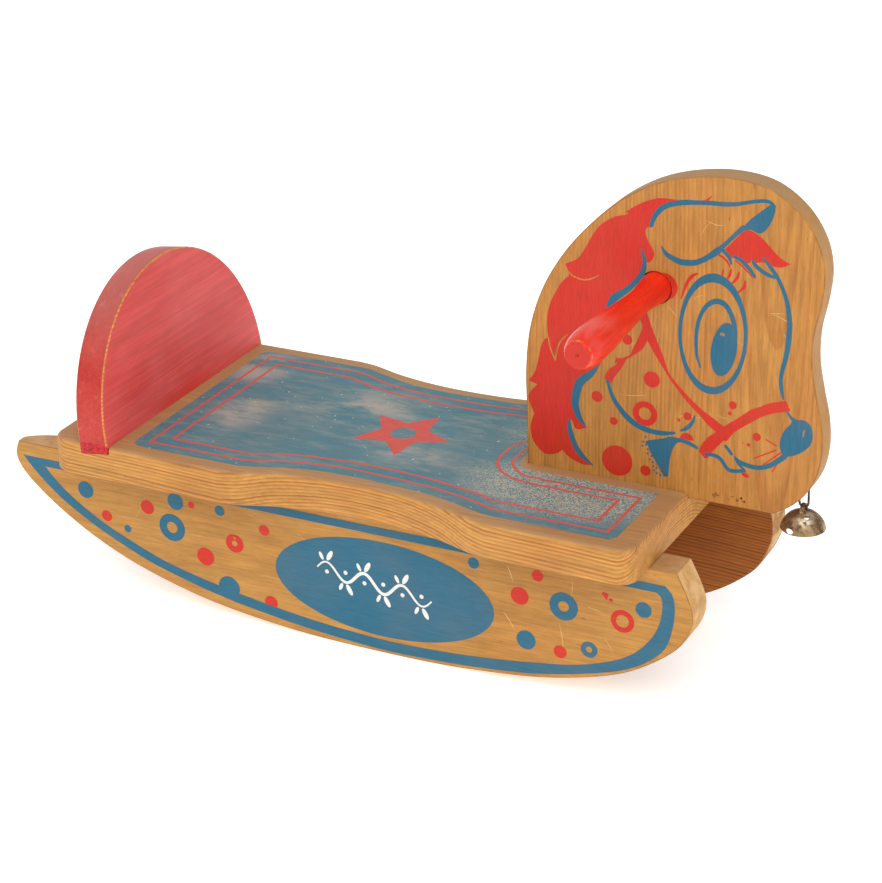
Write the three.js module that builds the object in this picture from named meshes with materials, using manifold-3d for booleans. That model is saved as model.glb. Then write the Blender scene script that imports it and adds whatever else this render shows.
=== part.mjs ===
// A child's wooden rocking horse: a waisted seat plank on two rockers, a leaning half-round backrest,
// a flat sawn horse's head with a turned grip on each side, and a small bell hung under the chin.
// Millimetres, +X forward, +Y to the horse's left, +Z up.
// Stations along X are measured from the foot of the backrest's front face and heights from the seat's
// top face; the root group then moves the origin to the floor under the middle of the bounding box.
import * as THREE from "three";
import { mergeVertices } from "three/addons/utils/BufferGeometryUtils.js";
import Module from "manifold-3d";

const wasm = await Module();
wasm.setup();

// ---- driving dimensions ----
const GLUE_LINE = 0.1; // between two faces that lie flat on each other
const FIT = 0.3; // round anything that is let into a neighbour

const SEAT = {
  rear: -57,
  front: 447,
  halfWidth: 120,
  waistHalfWidth: 99.5,
  waistStation: 215,
  waistHalfLength: 115,
  thickness: 28.5,
  rearCorner: 18,
  frontCorner: 14,
  easing: 4,
};
const BACKREST = {
  radius: 121,
  thickness: 26,
  lean: THREE.MathUtils.degToRad(7.7),
  sunk: 5,
  easing: 1.5,
};
const HEAD = { rear: 314, thickness: 20, sunk: 4.5, easing: 2 };
const HANDLE = { station: 418.5, height: 160.5, endRadius: 12.1, reach: 151, clearance: 0.8 };
const ROCKER = {
  tail: -117,
  toe: 484.5,
  taper: 74, // how far from the tail the inner face starts to sweep outward
  outerFace: 85,
  thickness: SEAT.thickness,
  easing: 2,
};
const SOLE_DEPTH = 150.6; // from the seat's top face down to the floor
const CLEAT = { rear: 60, front: 380, size: 20 };
const SCREW = { shank: 2, head: 4, point: 5 };
const EYE = { wire: 0.9, bend: 3.5, station: 534.5, height: 1.5, leg: 21 };
const BELL = { radius: 17.2, wall: 1, depth: 14.5, strapWidth: 3, strapWall: 1.2, strapRadius: 4 };
const CLAPPER = { wire: 0.6, bar: 3.1, ball: 3.6, drop: 13.5, hole: 2 };

const ROCKER_TOP = -SEAT.thickness - GLUE_LINE;
const ROCKER_INNER_FACE = ROCKER.outerFace - ROCKER.thickness;

// ---- helpers ----
function solidOf(geometry) {
  const bare = geometry.clone();
  bare.deleteAttribute("normal");
  bare.deleteAttribute("uv");
  const merged = mergeVertices(bare, 1e-4);
  const vertProperties = new Float32Array(merged.attributes.position.array);
  const triVerts = new Uint32Array(merged.index.array);
  return new wasm.Manifold(new wasm.Mesh({ numProp: 3, vertProperties, triVerts }));
}

function geometryOf(solid) {
  const mesh = solid.getMesh();
  const geometry = new THREE.BufferGeometry();
  geometry.setAttribute("position", new THREE.BufferAttribute(mesh.vertProperties, 3));
  geometry.setIndex(new THREE.BufferAttribute(mesh.triVerts, 1));
  geometry.computeVertexNormals();
  return geometry;
}

function cut(geometry, tools) {
  return geometryOf(tools.reduce((solid, tool) => solid.subtract(solidOf(tool)), solidOf(geometry)));
}

// A plank with its outline in the (x, y) plane and its thickness going up from z = 0.
function flatPlank(outline, thickness, easing) {
  return new THREE.ExtrudeGeometry(outline, {
    depth: thickness - 2 * easing,
    bevelThickness: easing,
    bevelSize: easing,
    bevelOffset: -easing,
    bevelSegments: 2,
    curveSegments: 8,
  }).translate(0, 0, easing);
}

// The same plank stood on edge: its outline is in the (x, z) plane, centred on y = 0.
function uprightPlank(outline, thickness, easing) {
  return flatPlank(outline, thickness, easing)
    .rotateX(Math.PI / 2)
    .translate(0, thickness / 2, 0);
}

// A turned piece about the Z axis; its profile is a list of [radius, height], going up.
function turned(profile, segments) {
  const points = profile.map(([radius, height]) => new THREE.Vector2(radius, height));
  return new THREE.LatheGeometry(points, segments).rotateX(Math.PI / 2);
}

function box(xRange, yRange, zRange) {
  const sizes = [xRange, yRange, zRange].map(([low, high]) => high - low);
  const middles = [xRange, yRange, zRange].map(([low, high]) => (low + high) / 2);
  return new THREE.BoxGeometry(...sizes).translate(...middles);
}

function rod(radius, length, segments) {
  return turned([[0, 0], [radius, 0], [radius, length], [0, length]], segments);
}

const curvePoints = (points, count) =>
  new THREE.SplineCurve(points.map(([x, y]) => new THREE.Vector2(x, y))).getPoints(count);

// ---- wood screws, driven along +Z with the countersunk head's face at z = 0 ----
function screwBody(length, gap) {
  const shank = SCREW.shank + gap;
  const head = SCREW.head + gap;
  return turned(
    [
      [0, -gap],
      [head, -gap],
      [shank, SCREW.head - SCREW.shank],
      [shank, length - SCREW.point],
      [gap, length + gap],
      [0, length + gap],
    ],
    8,
  );
}

// Each screw is placed by the point its head starts from and the axis it is driven along.
function placedScrew({ at, along, length }, gap) {
  const turn = new THREE.Quaternion().setFromUnitVectors(new THREE.Vector3(0, 0, 1), along);
  return screwBody(length, gap).applyQuaternion(turn).translate(...at);
}

const UP = new THREE.Vector3(0, 0, 1);
const LEFT = new THREE.Vector3(0, 1, 0);
const RIGHT = new THREE.Vector3(0, -1, 0);
const cleatMiddle = -SEAT.thickness - CLEAT.size / 2;

const sides = [
  { name: "right", sign: -1, outward: RIGHT },
  { name: "left", sign: 1, outward: LEFT },
];

const seatUnderside = -SEAT.thickness;
const headScrews = [350, 415].map((station, index) => ({
  name: `head_screw_${index + 1}`,
  at: [station, 0, seatUnderside],
  along: UP,
  length: 55,
}));
const backrestScrews = [-35, 0, 35].map((y, index) => ({
  name: `backrest_screw_${index + 1}`,
  at: [-12, y, seatUnderside],
  along: UP,
  length: 45,
}));
const cleatUpScrews = sides.flatMap(({ name, sign }) =>
  [90, 220, 350].map((station, index) => ({
    name: `cleat_${name}_up_screw_${index + 1}`,
    side: name,
    at: [station, sign * (ROCKER_INNER_FACE - CLEAT.size / 2), ROCKER_TOP - CLEAT.size],
    along: UP,
    length: 36,
  })),
);
const cleatSideScrews = sides.flatMap(({ name, sign, outward }) =>
  [125, 255, 315].map((station, index) => ({
    name: `cleat_${name}_side_screw_${index + 1}`,
    side: name,
    at: [station, sign * (ROCKER_INNER_FACE - GLUE_LINE - CLEAT.size), cleatMiddle],
    along: outward,
    length: 40,
  })),
);
const screws = [...headScrews, ...backrestScrews, ...cleatUpScrews, ...cleatSideScrews];
const screwHoles = (list) => list.map((screw) => placedScrew(screw, FIT));

// ---- seat: a plank with a waist, a leaning slot for the backrest and a groove for the head ----
function waist(side) {
  const middle = SEAT.waistStation;
  const dip = SEAT.halfWidth - SEAT.waistHalfWidth;
  const stations = [-1, -0.87, -0.62, -0.32, 0, 0.32, 0.62, 0.87, 1];
  const shares = [0, 0.12, 0.58, 0.9, 1, 0.9, 0.58, 0.12, 0];
  const points = stations.map((t, i) => [
    middle + t * SEAT.waistHalfLength * side,
    side * -(SEAT.halfWidth - dip * shares[i]),
  ]);
  return curvePoints(points, 20);
}

function seatOutline() {
  const { rear, front, halfWidth, rearCorner, frontCorner } = SEAT;
  const outline = new THREE.Shape();
  outline.moveTo(rear + rearCorner, -halfWidth);
  waist(1).forEach((point) => outline.lineTo(point.x, point.y));
  outline.lineTo(front - frontCorner, -halfWidth);
  outline.absarc(front - frontCorner, -halfWidth + frontCorner, frontCorner, -Math.PI / 2, 0);
  outline.absarc(front - frontCorner, halfWidth - frontCorner, frontCorner, 0, Math.PI / 2);
  waist(-1).forEach((point) => outline.lineTo(point.x, point.y));
  outline.absarc(rear + rearCorner, halfWidth - rearCorner, rearCorner, Math.PI / 2, Math.PI);
  outline.absarc(rear + rearCorner, -halfWidth + rearCorner, rearCorner, Math.PI, 1.5 * Math.PI);
  return outline;
}

function seatBoard() {
  const plank = flatPlank(seatOutline(), SEAT.thickness, SEAT.easing).translate(0, 0, -SEAT.thickness);
  const beyond = SEAT.halfWidth + 10;
  const backrestSlot = box(
    [-BACKREST.thickness - FIT, FIT],
    [-beyond, beyond],
    [-BACKREST.sunk - FIT, beyond],
  ).rotateY(-BACKREST.lean);
  const halfGroove = HEAD.thickness / 2 + FIT;
  const headGroove = box(
    [HEAD.rear - FIT, SEAT.front + 10],
    [-halfGroove, halfGroove],
    [-HEAD.sunk - FIT, 10],
  );
  const holes = screwHoles([...headScrews, ...backrestScrews, ...cleatUpScrews]);
  return cut(plank, [backrestSlot, headGroove, ...holes]);
}

// ---- backrest: a half disc that leans back, standing in its slot ----
function backrest() {
  const { radius, thickness, lean, sunk, easing } = BACKREST;
  const outline = new THREE.Shape();
  outline.moveTo(-radius, -sunk);
  outline.lineTo(radius, -sunk);
  outline.absarc(0, 0, radius, 0, Math.PI);
  // The plank is made facing forward and then leaned about the foot of its front face.
  const plank = flatPlank(outline, thickness, easing)
    .rotateX(Math.PI / 2)
    .rotateZ(-Math.PI / 2)
    .rotateY(-lean);
  return cut(plank, screwHoles(backrestScrews));
}

// ---- head: a sawn profile, flat on both faces, with one hole across it for the grips ----
const HEAD_PROFILE = [
  [313.5, 40],
  [313, 80],
  [317, 115],
  [328, 148],
  [345, 177],
  [365, 201],
  [390, 224],
  [417, 240],
  [446, 249],
  [478, 252],
  [505, 247],
  [528, 231],
  [542, 210],
  [547, 188],
  [545, 165],
  [540.5, 142],
  [540, 118],
  [544, 95],
  [549, 72],
  [550, 50],
  [546, 30],
  [537, 14],
  [526, 3],
  [514, -HEAD.sunk],
];

function headBoard() {
  const outline = new THREE.Shape();
  outline.moveTo(HEAD.rear, -HEAD.sunk);
  outline.lineTo(514, -HEAD.sunk);
  curvePoints([...HEAD_PROFILE].reverse(), 60).forEach((point) => outline.lineTo(point.x, point.y));
  const plank = uprightPlank(outline, HEAD.thickness, HEAD.easing);
  const gripHole = rod(HANDLE.endRadius + HANDLE.clearance, 2 * HEAD.thickness, 24)
    .rotateX(Math.PI / 2)
    .translate(HANDLE.station, HEAD.thickness, HANDLE.height);
  const legHoles = [-EYE.bend, EYE.bend].map((offset) =>
    rod(EYE.wire + FIT, EYE.leg + FIT, 12).translate(EYE.station + offset, 0, EYE.height + EYE.bend),
  );
  return cut(plank, [gripHole, ...legHoles, ...screwHoles(headScrews)]);
}

// ---- grips: each is one turning whose inner end is glued into the hole through the head ----
function handle(side) {
  const { endRadius, reach } = HANDLE;
  const flank = curvePoints(
    [
      [endRadius, 12],
      [11, 21],
      [9.7, 34],
      [9.6, 46],
      [10.6, 66],
      [12.4, 92],
      [13.9, 120],
      [13.7, 136],
      [12, 146],
      [9.4, reach],
    ],
    20,
  ).map((point) => [point.x, point.y]);
  const centreMark = [[1.3, reach], [0, reach - 2]];
  const profile = [[0, FIT / 2], [endRadius, FIT / 2], ...flank, ...centreMark];
  return turned(profile, 24)
    .rotateX((-side * Math.PI) / 2)
    .translate(HANDLE.station, 0, HANDLE.height);
}

// ---- rockers: straight on top, curved below, thin at the tail and blunt at the toe ----
const SOLE = [
  [-113.5, ROCKER_TOP],
  [ROCKER.tail, ROCKER_TOP - 10.5],
  [-115, -48],
  [-106.7, -59.4],
  [-73.4, -86.2],
  [-20.7, -114.5],
  [50, -136.3],
  [129, -147.6],
  [212, -SOLE_DEPTH],
  [296, -148.2],
  [372, -138.3],
  [429.5, -120],
  [462, -98.3],
  [474, -85.5],
  [480, -73],
];

// The two are sawn by hand: the right toe is cut back at the top, and the left rocker stands further forward.
const HAND_WORK = {
  right: { lead: 0, toe: [[481.5, -61], [478, -48.5], [468.5, ROCKER_TOP]] },
  left: { lead: 7, toe: [[484, -61], [ROCKER.toe, -48.5], [481, ROCKER_TOP]] },
};

function rockerOutline(toe) {
  const outline = new THREE.Shape();
  curvePoints([...SOLE, ...toe], 72).forEach((point, index) =>
    index ? outline.lineTo(point.x, point.y) : outline.moveTo(point.x, point.y),
  );
  return outline;
}

// Seen from above, the right rocker's inner face curves outward to meet the outer face at the tail.
function tailTaper() {
  const { tail, taper, toe } = ROCKER;
  const half = ROCKER.thickness / 2 + 0.5;
  const beyond = toe + 10;
  const outline = new THREE.Shape();
  outline.moveTo(beyond, half);
  outline.absellipse(tail + taper, -half, taper, 2 * half, Math.PI / 2, Math.PI);
  outline.lineTo(beyond, -half);
  const depth = 2 * SOLE_DEPTH + 10;
  return new THREE.ExtrudeGeometry(outline, { depth, bevelEnabled: false, curveSegments: 12 })
    .translate(0, 0, -depth / 2);
}

function rocker({ name, sign }) {
  const { lead, toe } = HAND_WORK[name];
  const middle = sign * (ROCKER.outerFace - ROCKER.thickness / 2);
  const plank = solidOf(uprightPlank(rockerOutline(toe), ROCKER.thickness, ROCKER.easing));
  const taper = tailTaper();
  if (sign > 0) taper.rotateX(Math.PI);
  const tapered = geometryOf(plank.intersect(solidOf(taper))).translate(lead, middle, 0);
  return cut(tapered, screwHoles(cleatSideScrews.filter((screw) => screw.side === name)));
}

// ---- cleats: square battens in the corners between the seat and the rockers ----
function cleat({ name, sign }) {
  const faces = [ROCKER_INNER_FACE - GLUE_LINE - CLEAT.size, ROCKER_INNER_FACE - GLUE_LINE];
  const batten = box(
    [CLEAT.rear, CLEAT.front],
    sign > 0 ? faces : [-faces[1], -faces[0]],
    [ROCKER_TOP - CLEAT.size, ROCKER_TOP],
  );
  const own = [...cleatUpScrews, ...cleatSideScrews].filter((screw) => screw.side === name);
  return cut(batten, screwHoles(own));
}

// ---- staple: a wire bent into a narrow U, its two legs driven up into the chin ----
class StapleCurve extends THREE.Curve {
  getPoint(t) {
    const bend = Math.PI * EYE.bend;
    const along = t * (2 * EYE.leg + bend) - EYE.leg;
    if (along < 0) return new THREE.Vector3(-EYE.bend, 0, -along);
    if (along > bend) return new THREE.Vector3(EYE.bend, 0, along - bend);
    const angle = along / EYE.bend;
    return new THREE.Vector3(-EYE.bend * Math.cos(angle), 0, -EYE.bend * Math.sin(angle));
  }
}

function staple() {
  const wire = new THREE.Shape().absarc(0, 0, EYE.wire, 0, 2 * Math.PI);
  const path = new StapleCurve();
  return new THREE.ExtrudeGeometry(wire, { steps: 32, extrudePath: path, curveSegments: 4 })
    .translate(EYE.station, 0, EYE.height + EYE.bend);
}

// ---- bell: a thin dome with a strap over its crown, hanging on the staple ----
const STRAP_TOP = EYE.height + EYE.wire + 0.7; // the strap's inner face, just clear of the wire
const CROWN = STRAP_TOP - BELL.strapRadius; // the dome's outer face on its axis

function domeProfile() {
  const { radius, wall, depth } = BELL;
  const rimAngle = Math.acos((radius - depth) / radius);
  const steps = 8;
  const arc = (size, from, to) =>
    Array.from({ length: steps + 1 }, (_, i) => {
      const angle = from + ((to - from) * i) / steps;
      return [size * Math.sin(angle), size * Math.cos(angle) - radius];
    });
  return [...arc(radius - wall, 0, rimAngle), ...arc(radius, rimAngle, 0)];
}

function strap() {
  const { strapWidth, strapWall, strapRadius, wall } = BELL;
  const foot = -wall / 2 - 0.7;
  const outer = strapRadius + strapWall;
  const outline = new THREE.Shape();
  outline.moveTo(outer, foot);
  outline.absarc(0, 0, outer, 0, Math.PI);
  outline.lineTo(-outer, foot);
  outline.lineTo(-strapRadius, foot);
  outline.absarc(0, 0, strapRadius, Math.PI, 0, true);
  outline.lineTo(strapRadius, foot);
  return new THREE.ExtrudeGeometry(outline, { depth: strapWidth, bevelEnabled: false, curveSegments: 8 })
    .translate(0, 0, -strapWidth / 2)
    .rotateX(Math.PI / 2)
    .rotateZ(Math.PI / 2);
}

function bellShell() {
  const dome = solidOf(turned(domeProfile(), 32)).add(solidOf(strap()));
  const crownHole = rod(CLAPPER.hole, 6, 16).translate(0, 0, -4);
  // A round hole beside the strap, and a slot that opens near the rim.
  const sideHole = rod(2.3, 20, 16).translate(0, 0, 8).rotateX(0.5).rotateZ(0.6);
  const rimSlot = rod(2, 14, 16).scale(1.7, 1, 1).translate(0, 0, 8).rotateX(1.28).rotateZ(-0.35);
  const holes = [sideHole, rimSlot].map((hole) => hole.translate(0, 0, -BELL.radius));
  return cut(geometryOf(dome), [crownHole, ...holes]).translate(EYE.station, 0, CROWN);
}

// ---- clapper: a ball on a wire whose cross bar lies on the dome, under the strap ----
function clapper() {
  const { wire, bar, ball, drop } = CLAPPER;
  const stem = rod(wire, drop, 10).translate(0, 0, -drop);
  const crossBar = rod(wire, 2 * bar, 10).translate(0, 0, -bar).rotateX(Math.PI / 2);
  const weight = new THREE.SphereGeometry(ball, 14, 10).translate(0, 0, -drop);
  const joined = solidOf(stem).add(solidOf(crossBar)).add(solidOf(weight));
  return geometryOf(joined).translate(EYE.station, 0, CROWN + wire + 0.2);
}

// ---- materials and assembly ----
const finishes = {
  pine: { color: 0xc8914f, roughness: 0.55, metalness: 0 },
  redPaint: { color: 0xc8352a, roughness: 0.45, metalness: 0 },
  brightRed: { color: 0xe2391f, roughness: 0.3, metalness: 0 },
  steel: { color: 0x8f8b84, roughness: 0.45, metalness: 1 },
  tarnished: { color: 0x7d6a58, roughness: 0.4, metalness: 1 },
};

const rockingHorse = new THREE.Group();

function addPiece(name, geometry, finish) {
  const mesh = new THREE.Mesh(geometry, new THREE.MeshStandardMaterial(finishes[finish]));
  mesh.name = name;
  rockingHorse.add(mesh);
}

addPiece("seat_board", seatBoard(), "pine");
addPiece("backrest", backrest(), "redPaint");
addPiece("head_board", headBoard(), "pine");
sides.forEach((side) => {
  addPiece(`rocker_${side.name}`, rocker(side), "pine");
  addPiece(`cleat_${side.name}`, cleat(side), "pine");
  addPiece(`handle_${side.name}`, handle(side.sign), "brightRed");
});
screws.forEach((screw) => addPiece(screw.name, placedScrew(screw, 0), "steel"));
addPiece("bell_staple", staple(), "steel");
addPiece("bell_shell", bellShell(), "tarnished");
addPiece("bell_clapper", clapper(), "tarnished");

const foremost = Math.max(...HEAD_PROFILE.map(([station]) => station));
rockingHorse.position.set(-(ROCKER.tail + foremost) / 2, 0, SOLE_DEPTH);

export default rockingHorse;
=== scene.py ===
"""A child's wooden rocking horse with worn printed decoration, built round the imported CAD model.

The boards are drawn in the maker's own measures: millimetres, with stations along X from the foot of the
backrest, Y to the horse's left, and heights from the seat's top face. place_mesh() moves them into the frame.
"""
import math
import random

import bmesh
import bpy
from mathutils import Matrix, Vector
from mathutils.geometry import tessellate_polygon


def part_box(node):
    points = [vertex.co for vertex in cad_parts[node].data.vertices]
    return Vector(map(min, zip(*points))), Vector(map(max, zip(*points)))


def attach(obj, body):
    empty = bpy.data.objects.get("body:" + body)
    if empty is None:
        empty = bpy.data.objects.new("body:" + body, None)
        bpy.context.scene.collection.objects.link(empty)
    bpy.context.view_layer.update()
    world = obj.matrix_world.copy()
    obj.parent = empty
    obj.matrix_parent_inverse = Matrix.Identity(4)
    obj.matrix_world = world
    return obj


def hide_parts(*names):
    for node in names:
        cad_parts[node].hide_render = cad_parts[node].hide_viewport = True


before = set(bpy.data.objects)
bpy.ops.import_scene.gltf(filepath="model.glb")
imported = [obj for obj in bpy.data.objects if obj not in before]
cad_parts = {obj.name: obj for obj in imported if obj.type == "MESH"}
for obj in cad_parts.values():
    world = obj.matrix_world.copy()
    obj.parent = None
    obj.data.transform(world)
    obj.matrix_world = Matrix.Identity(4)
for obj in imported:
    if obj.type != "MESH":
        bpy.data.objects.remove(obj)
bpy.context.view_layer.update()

MM = 0.001
TINY = 1e-4  # shorter than any length that matters, in millimetres

# ---- driving dimensions, in millimetres ----
GLUE_LINE = 0.1
FIT = 0.3
SEAT_REAR, SEAT_FRONT = -57, 447
SEAT_HALF, WAIST_HALF = 120, 99.5
WAIST_MIDDLE, WAIST_REACH = 215, 115
SEAT_THICK = 28.5
SEAT_REAR_CORNER, SEAT_FRONT_CORNER = 18, 14
SEAT_TOP_EASING, SEAT_UNDER_EASING = 4, 1.5
BACK_RADIUS, BACK_THICK, BACK_SUNK, BACK_EASING = 121, 26, 5, 1.8
BACK_LEAN = math.radians(7.7)
HEAD_REAR, HEAD_FOOT_FRONT, HEAD_THICK, HEAD_SUNK, HEAD_EASING = 314, 514, 20, 4.5, 1.6
GRIP_STATION, GRIP_HEIGHT, GRIP_RADIUS, GRIP_REACH = 418.5, 160.5, 12.1, 151
ROCKER_TAIL, ROCKER_TOE, ROCKER_FACE, ROCKER_THICK = -117, 484.5, 85, SEAT_THICK
ROCKER_TAPER, LEFT_LEAD, ROCKER_EASING = 74, 7, 1.3
ROCKER_TOP = -SEAT_THICK - GLUE_LINE
CLEAT_REAR, CLEAT_FRONT, CLEAT_SIZE, CLEAT_EASING = 60, 380, 20, 0.8
WIRE_RADIUS, WIRE_BEND, WIRE_STATION, WIRE_LOW, WIRE_LEG = 0.9, 3.5, 534.5, 1.5, 21
BELL_RADIUS, BELL_WALL, BELL_DEPTH = 17.2, 1, 14.5
STRAP_WIDTH, STRAP_WALL, STRAP_RADIUS = 3, 1.2, 4
CLAPPER_WIRE, CLAPPER_BAR, CLAPPER_BALL, CLAPPER_DROP = 0.6, 3.1, 3.6, 13.5

# The station frame's origin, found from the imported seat: its rear end and its top face.
seat_low, seat_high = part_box("seat_board")
STATION = Matrix.Translation((seat_low.x - SEAT_REAR * MM, 0, seat_high.z)) @ Matrix.Scale(MM, 4)


# ---- curves and outlines ----
def spline(points, step=1.2):
    """Evenly spaced points along a centripetal Catmull-Rom curve; two points make a straight line."""
    points = [Vector(p) for p in points]
    ends = [2 * points[0] - points[1], *points, 2 * points[-1] - points[-2]]
    made = [points[0]]
    for a, b, c, d in zip(ends, ends[1:], ends[2:], ends[3:]):
        t1 = max((b - a).length, TINY) ** 0.5
        t2 = t1 + max((c - b).length, TINY) ** 0.5
        t3 = t2 + max((d - c).length, TINY) ** 0.5
        straight = len(points) == 2
        count = 1 if straight else max(2, round((c - b).length / step))
        for i in range(1, count + 1):
            t = t1 + (t2 - t1) * i / count
            ab = a.lerp(b, t / t1)
            bc = b.lerp(c, (t - t1) / (t2 - t1))
            cd = c.lerp(d, (t - t2) / (t3 - t2))
            abc = ab.lerp(bc, t / t2)
            bcd = bc.lerp(cd, (t - t1) / (t3 - t1))
            made.append(abc.lerp(bcd, (t - t1) / (t2 - t1)))
    return made


def outline(*stretches, step=1.2):
    """A closed outline of smooth stretches that meet at corners; each starts where the last one ended."""
    made = []
    last = None
    for stretch in stretches:
        points = stretch if last is None else [last, *stretch]
        made += spline(points, step)[0 if last is None else 1:]
        last = stretch[-1]
    if (made[0] - made[-1]).length < TINY:
        made.pop()
    return made


def closed_curve(points, step=1.2):
    """A smooth closed outline without corners."""
    wrapped = [*points[-2:], *points, *points[:2]]
    curve = spline(wrapped, step)
    first = min(range(len(curve)), key=lambda i: (curve[i] - Vector(points[0])).length)
    after = range(first + 3, len(curve))
    last = min(after, key=lambda i: (curve[i] - Vector(points[0])).length)
    return curve[first:last]


def arc(cx, cy, radius, start, end, count=12, second=None):
    """Points on an arc; angles in degrees, and a second radius makes it elliptical."""
    other = radius if second is None else second
    angles = [math.radians(start + (end - start) * i / count) for i in range(count + 1)]
    return [Vector((cx + radius * math.cos(a), cy + other * math.sin(a))) for a in angles]


def ellipse(cx, cy, radius, second=None, tilt=0, count=None):
    """A closed ellipse, turned anticlockwise by tilt degrees."""
    count = count or max(14, round(2.2 * radius) + 10)
    turn = Matrix.Rotation(math.radians(tilt), 2)
    round_it = arc(0, 0, radius, 0, 360, count, second)[:-1]
    return [turn @ p + Vector((cx, cy)) for p in round_it]


def stroke(points, step=1.2):
    """The outline of a brush stroke through (u, v, width) points, with round ends."""
    centre = spline(points, step)
    left, right = [], []
    for i, p in enumerate(centre):
        before, after = centre[max(i - 1, 0)], centre[min(i + 1, len(centre) - 1)]
        along = (after.xy - before.xy).normalized()
        side = Vector((-along.y, along.x)) * max(p.z, 0.2) / 2
        left.append(p.xy + side)
        right.append(p.xy - side)
    return [*left, *cap(centre[-1], left[-1]), *reversed(right), *cap(centre[0], right[0])]


def cap(centre, start):
    """The points of a half circle that goes clockwise round a stroke's end from start."""
    arm = start - centre.xy
    return [centre.xy + Matrix.Rotation(-math.pi * i / 4, 2) @ arm for i in (1, 2, 3)]


def star(cx, cy, tip, inner, points=5):
    """A star with one tip toward +u."""
    made = []
    for i in range(2 * points):
        radius = inner if i % 2 else tip
        angle = math.pi * i / points
        made.append(Vector((cx + radius * math.cos(angle), cy + radius * math.sin(angle))))
    return made


def offset(points, distance):
    """A closed outline moved sideways, with mitred corners."""
    made = []
    for i, p in enumerate(points):
        before, after = points[i - 1], points[(i + 1) % len(points)]
        first = (p - before).normalized()
        second = (after - p).normalized()
        normals = [Vector((-d.y, d.x)) for d in (first, second)]
        middle = (normals[0] + normals[1]).normalized()
        made.append(p + middle * distance / max(middle.dot(normals[0]), 0.35))
    return made


# ---- meshes ----
def place_mesh(made, name, to_frame=STATION):
    """A mesh object from a bmesh in station millimetres, moved into the frame; its faces point out."""
    bmesh.ops.recalc_face_normals(made, faces=made.faces)
    mesh = bpy.data.meshes.new(name)
    made.to_mesh(mesh)
    made.free()
    mesh.transform(to_frame)
    piece = bpy.data.objects.new(name, mesh)
    bpy.context.scene.collection.objects.link(piece)
    return piece


CREASE = math.radians(35)


def finish_piece(piece, body, material, replaces=()):
    """Smooth shading that keeps the creases, a material, and the body, slot and CAD nodes it stands for."""
    piece.data.shade_smooth()
    piece.data.set_sharp_from_angle(angle=CREASE)
    if not piece.data.materials:
        piece.data.materials.append(material)
    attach(piece, body)
    if replaces:
        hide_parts(*replaces)
    return piece


def combine(piece, operation, others):
    """Join other solids to the piece, or take them out of it; the others are used up."""
    for other in others:
        step = piece.modifiers.new("combine", "BOOLEAN")
        step.operation = operation
        step.solver = "EXACT"
        step.object = other
    bpy.context.view_layer.update()
    evaluated = piece.evaluated_get(bpy.context.evaluated_depsgraph_get())
    mesh = bpy.data.meshes.new_from_object(evaluated)
    piece.modifiers.clear()
    piece.data = mesh
    for other in others:
        bpy.data.objects.remove(other)


def cut(piece, *cutters):
    combine(piece, "DIFFERENCE", cutters)


def join(piece, other):
    combine(piece, "UNION", [other])


def add_stack(made, rings):
    """A solid through rings of vertices laid one over another, closed at both ends."""
    made.faces.new(rings[0])
    made.faces.new(list(reversed(rings[-1])))
    for near, far in zip(rings, rings[1:]):
        for i in range(len(near)):
            j = (i + 1) % len(near)
            made.faces.new((near[i], far[i], far[j], near[j]))


def rounding(radius, segments=4):
    """The (inset, depth) steps of a rounded arris, from the flat of the face out to the edge."""
    angles = [math.pi / 2 * i / segments for i in range(segments + 1)]
    flat_rim = (radius + 0.5, 0)  # keeps the face's shading flat up to the rounding
    return [flat_rim, *[(radius * (1 - math.sin(a)), radius * (1 - math.cos(a))) for a in angles]]


def plank(name, points, thickness, easing, place, first_easing=None):
    """A board: an outline in (u, v), from depth 0 to its thickness, with its arrises rounded over.

    place(u, v, depth) gives the point in station millimetres. first_easing is for the face at depth 0.
    """
    area = sum(p.x * q.y - q.x * p.y for p, q in zip(points, [*points[1:], points[0]]))
    inward = math.copysign(1, area)
    last = [(inset, thickness - depth) for inset, depth in reversed(rounding(easing))]
    levels = [*rounding(first_easing or easing), *last]
    made = bmesh.new()
    rings = [[made.verts.new(place(p.x, p.y, depth)) for p in offset(points, inward * inset)]
             for inset, depth in levels]
    add_stack(made, rings)
    return place_mesh(made, name)


def add_box(made, low, high):
    corners = bmesh.ops.create_cube(made, size=1)["verts"]
    for corner in corners:
        corner.co = [(a + b) / 2 + c * (b - a) for a, b, c in zip(low, high, corner.co)]
    return corners


def box_cutter(low, high, turn=None):
    made = bmesh.new()
    add_box(made, low, high)
    if turn:
        bmesh.ops.transform(made, matrix=turn, verts=made.verts)
    return place_mesh(made, "cutter")


def add_turned(made, profile, segments, matrix=Matrix.Identity(4)):
    """A turning about Z: profile points are (radius, height), and a radius of 0 closes on the axis."""
    rings = []
    for radius, height in profile:
        if radius < TINY:
            rings.append([made.verts.new((0, 0, height))])
            continue
        angles = [2 * math.pi * i / segments for i in range(segments)]
        rings.append([made.verts.new((radius * math.cos(a), radius * math.sin(a), height)) for a in angles])
    for low, high in zip(rings, rings[1:]):
        for i in range(segments):
            j = (i + 1) % segments
            corners = [low[i % len(low)], low[j % len(low)], high[j % len(high)], high[i % len(high)]]
            face = list(dict.fromkeys(corners))
            if len(face) > 2:
                made.faces.new(face)
    bmesh.ops.transform(made, matrix=matrix, verts=[v for ring in rings for v in ring])


def turned(name, profile, segments, matrix=Matrix.Identity(4)):
    made = bmesh.new()
    add_turned(made, profile, segments, matrix)
    return place_mesh(made, name)


def rod_cutter(radius, start, end, segments=32):
    """A round cutter between two points."""
    start, end = Vector(start), Vector(end)
    along = end - start
    turn = Matrix.Translation(start) @ Vector((0, 0, 1)).rotation_difference(along).to_matrix().to_4x4()
    return turned("cutter", [(0, 0), (radius, 0), (radius, along.length), (0, along.length)], segments, turn)


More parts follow.
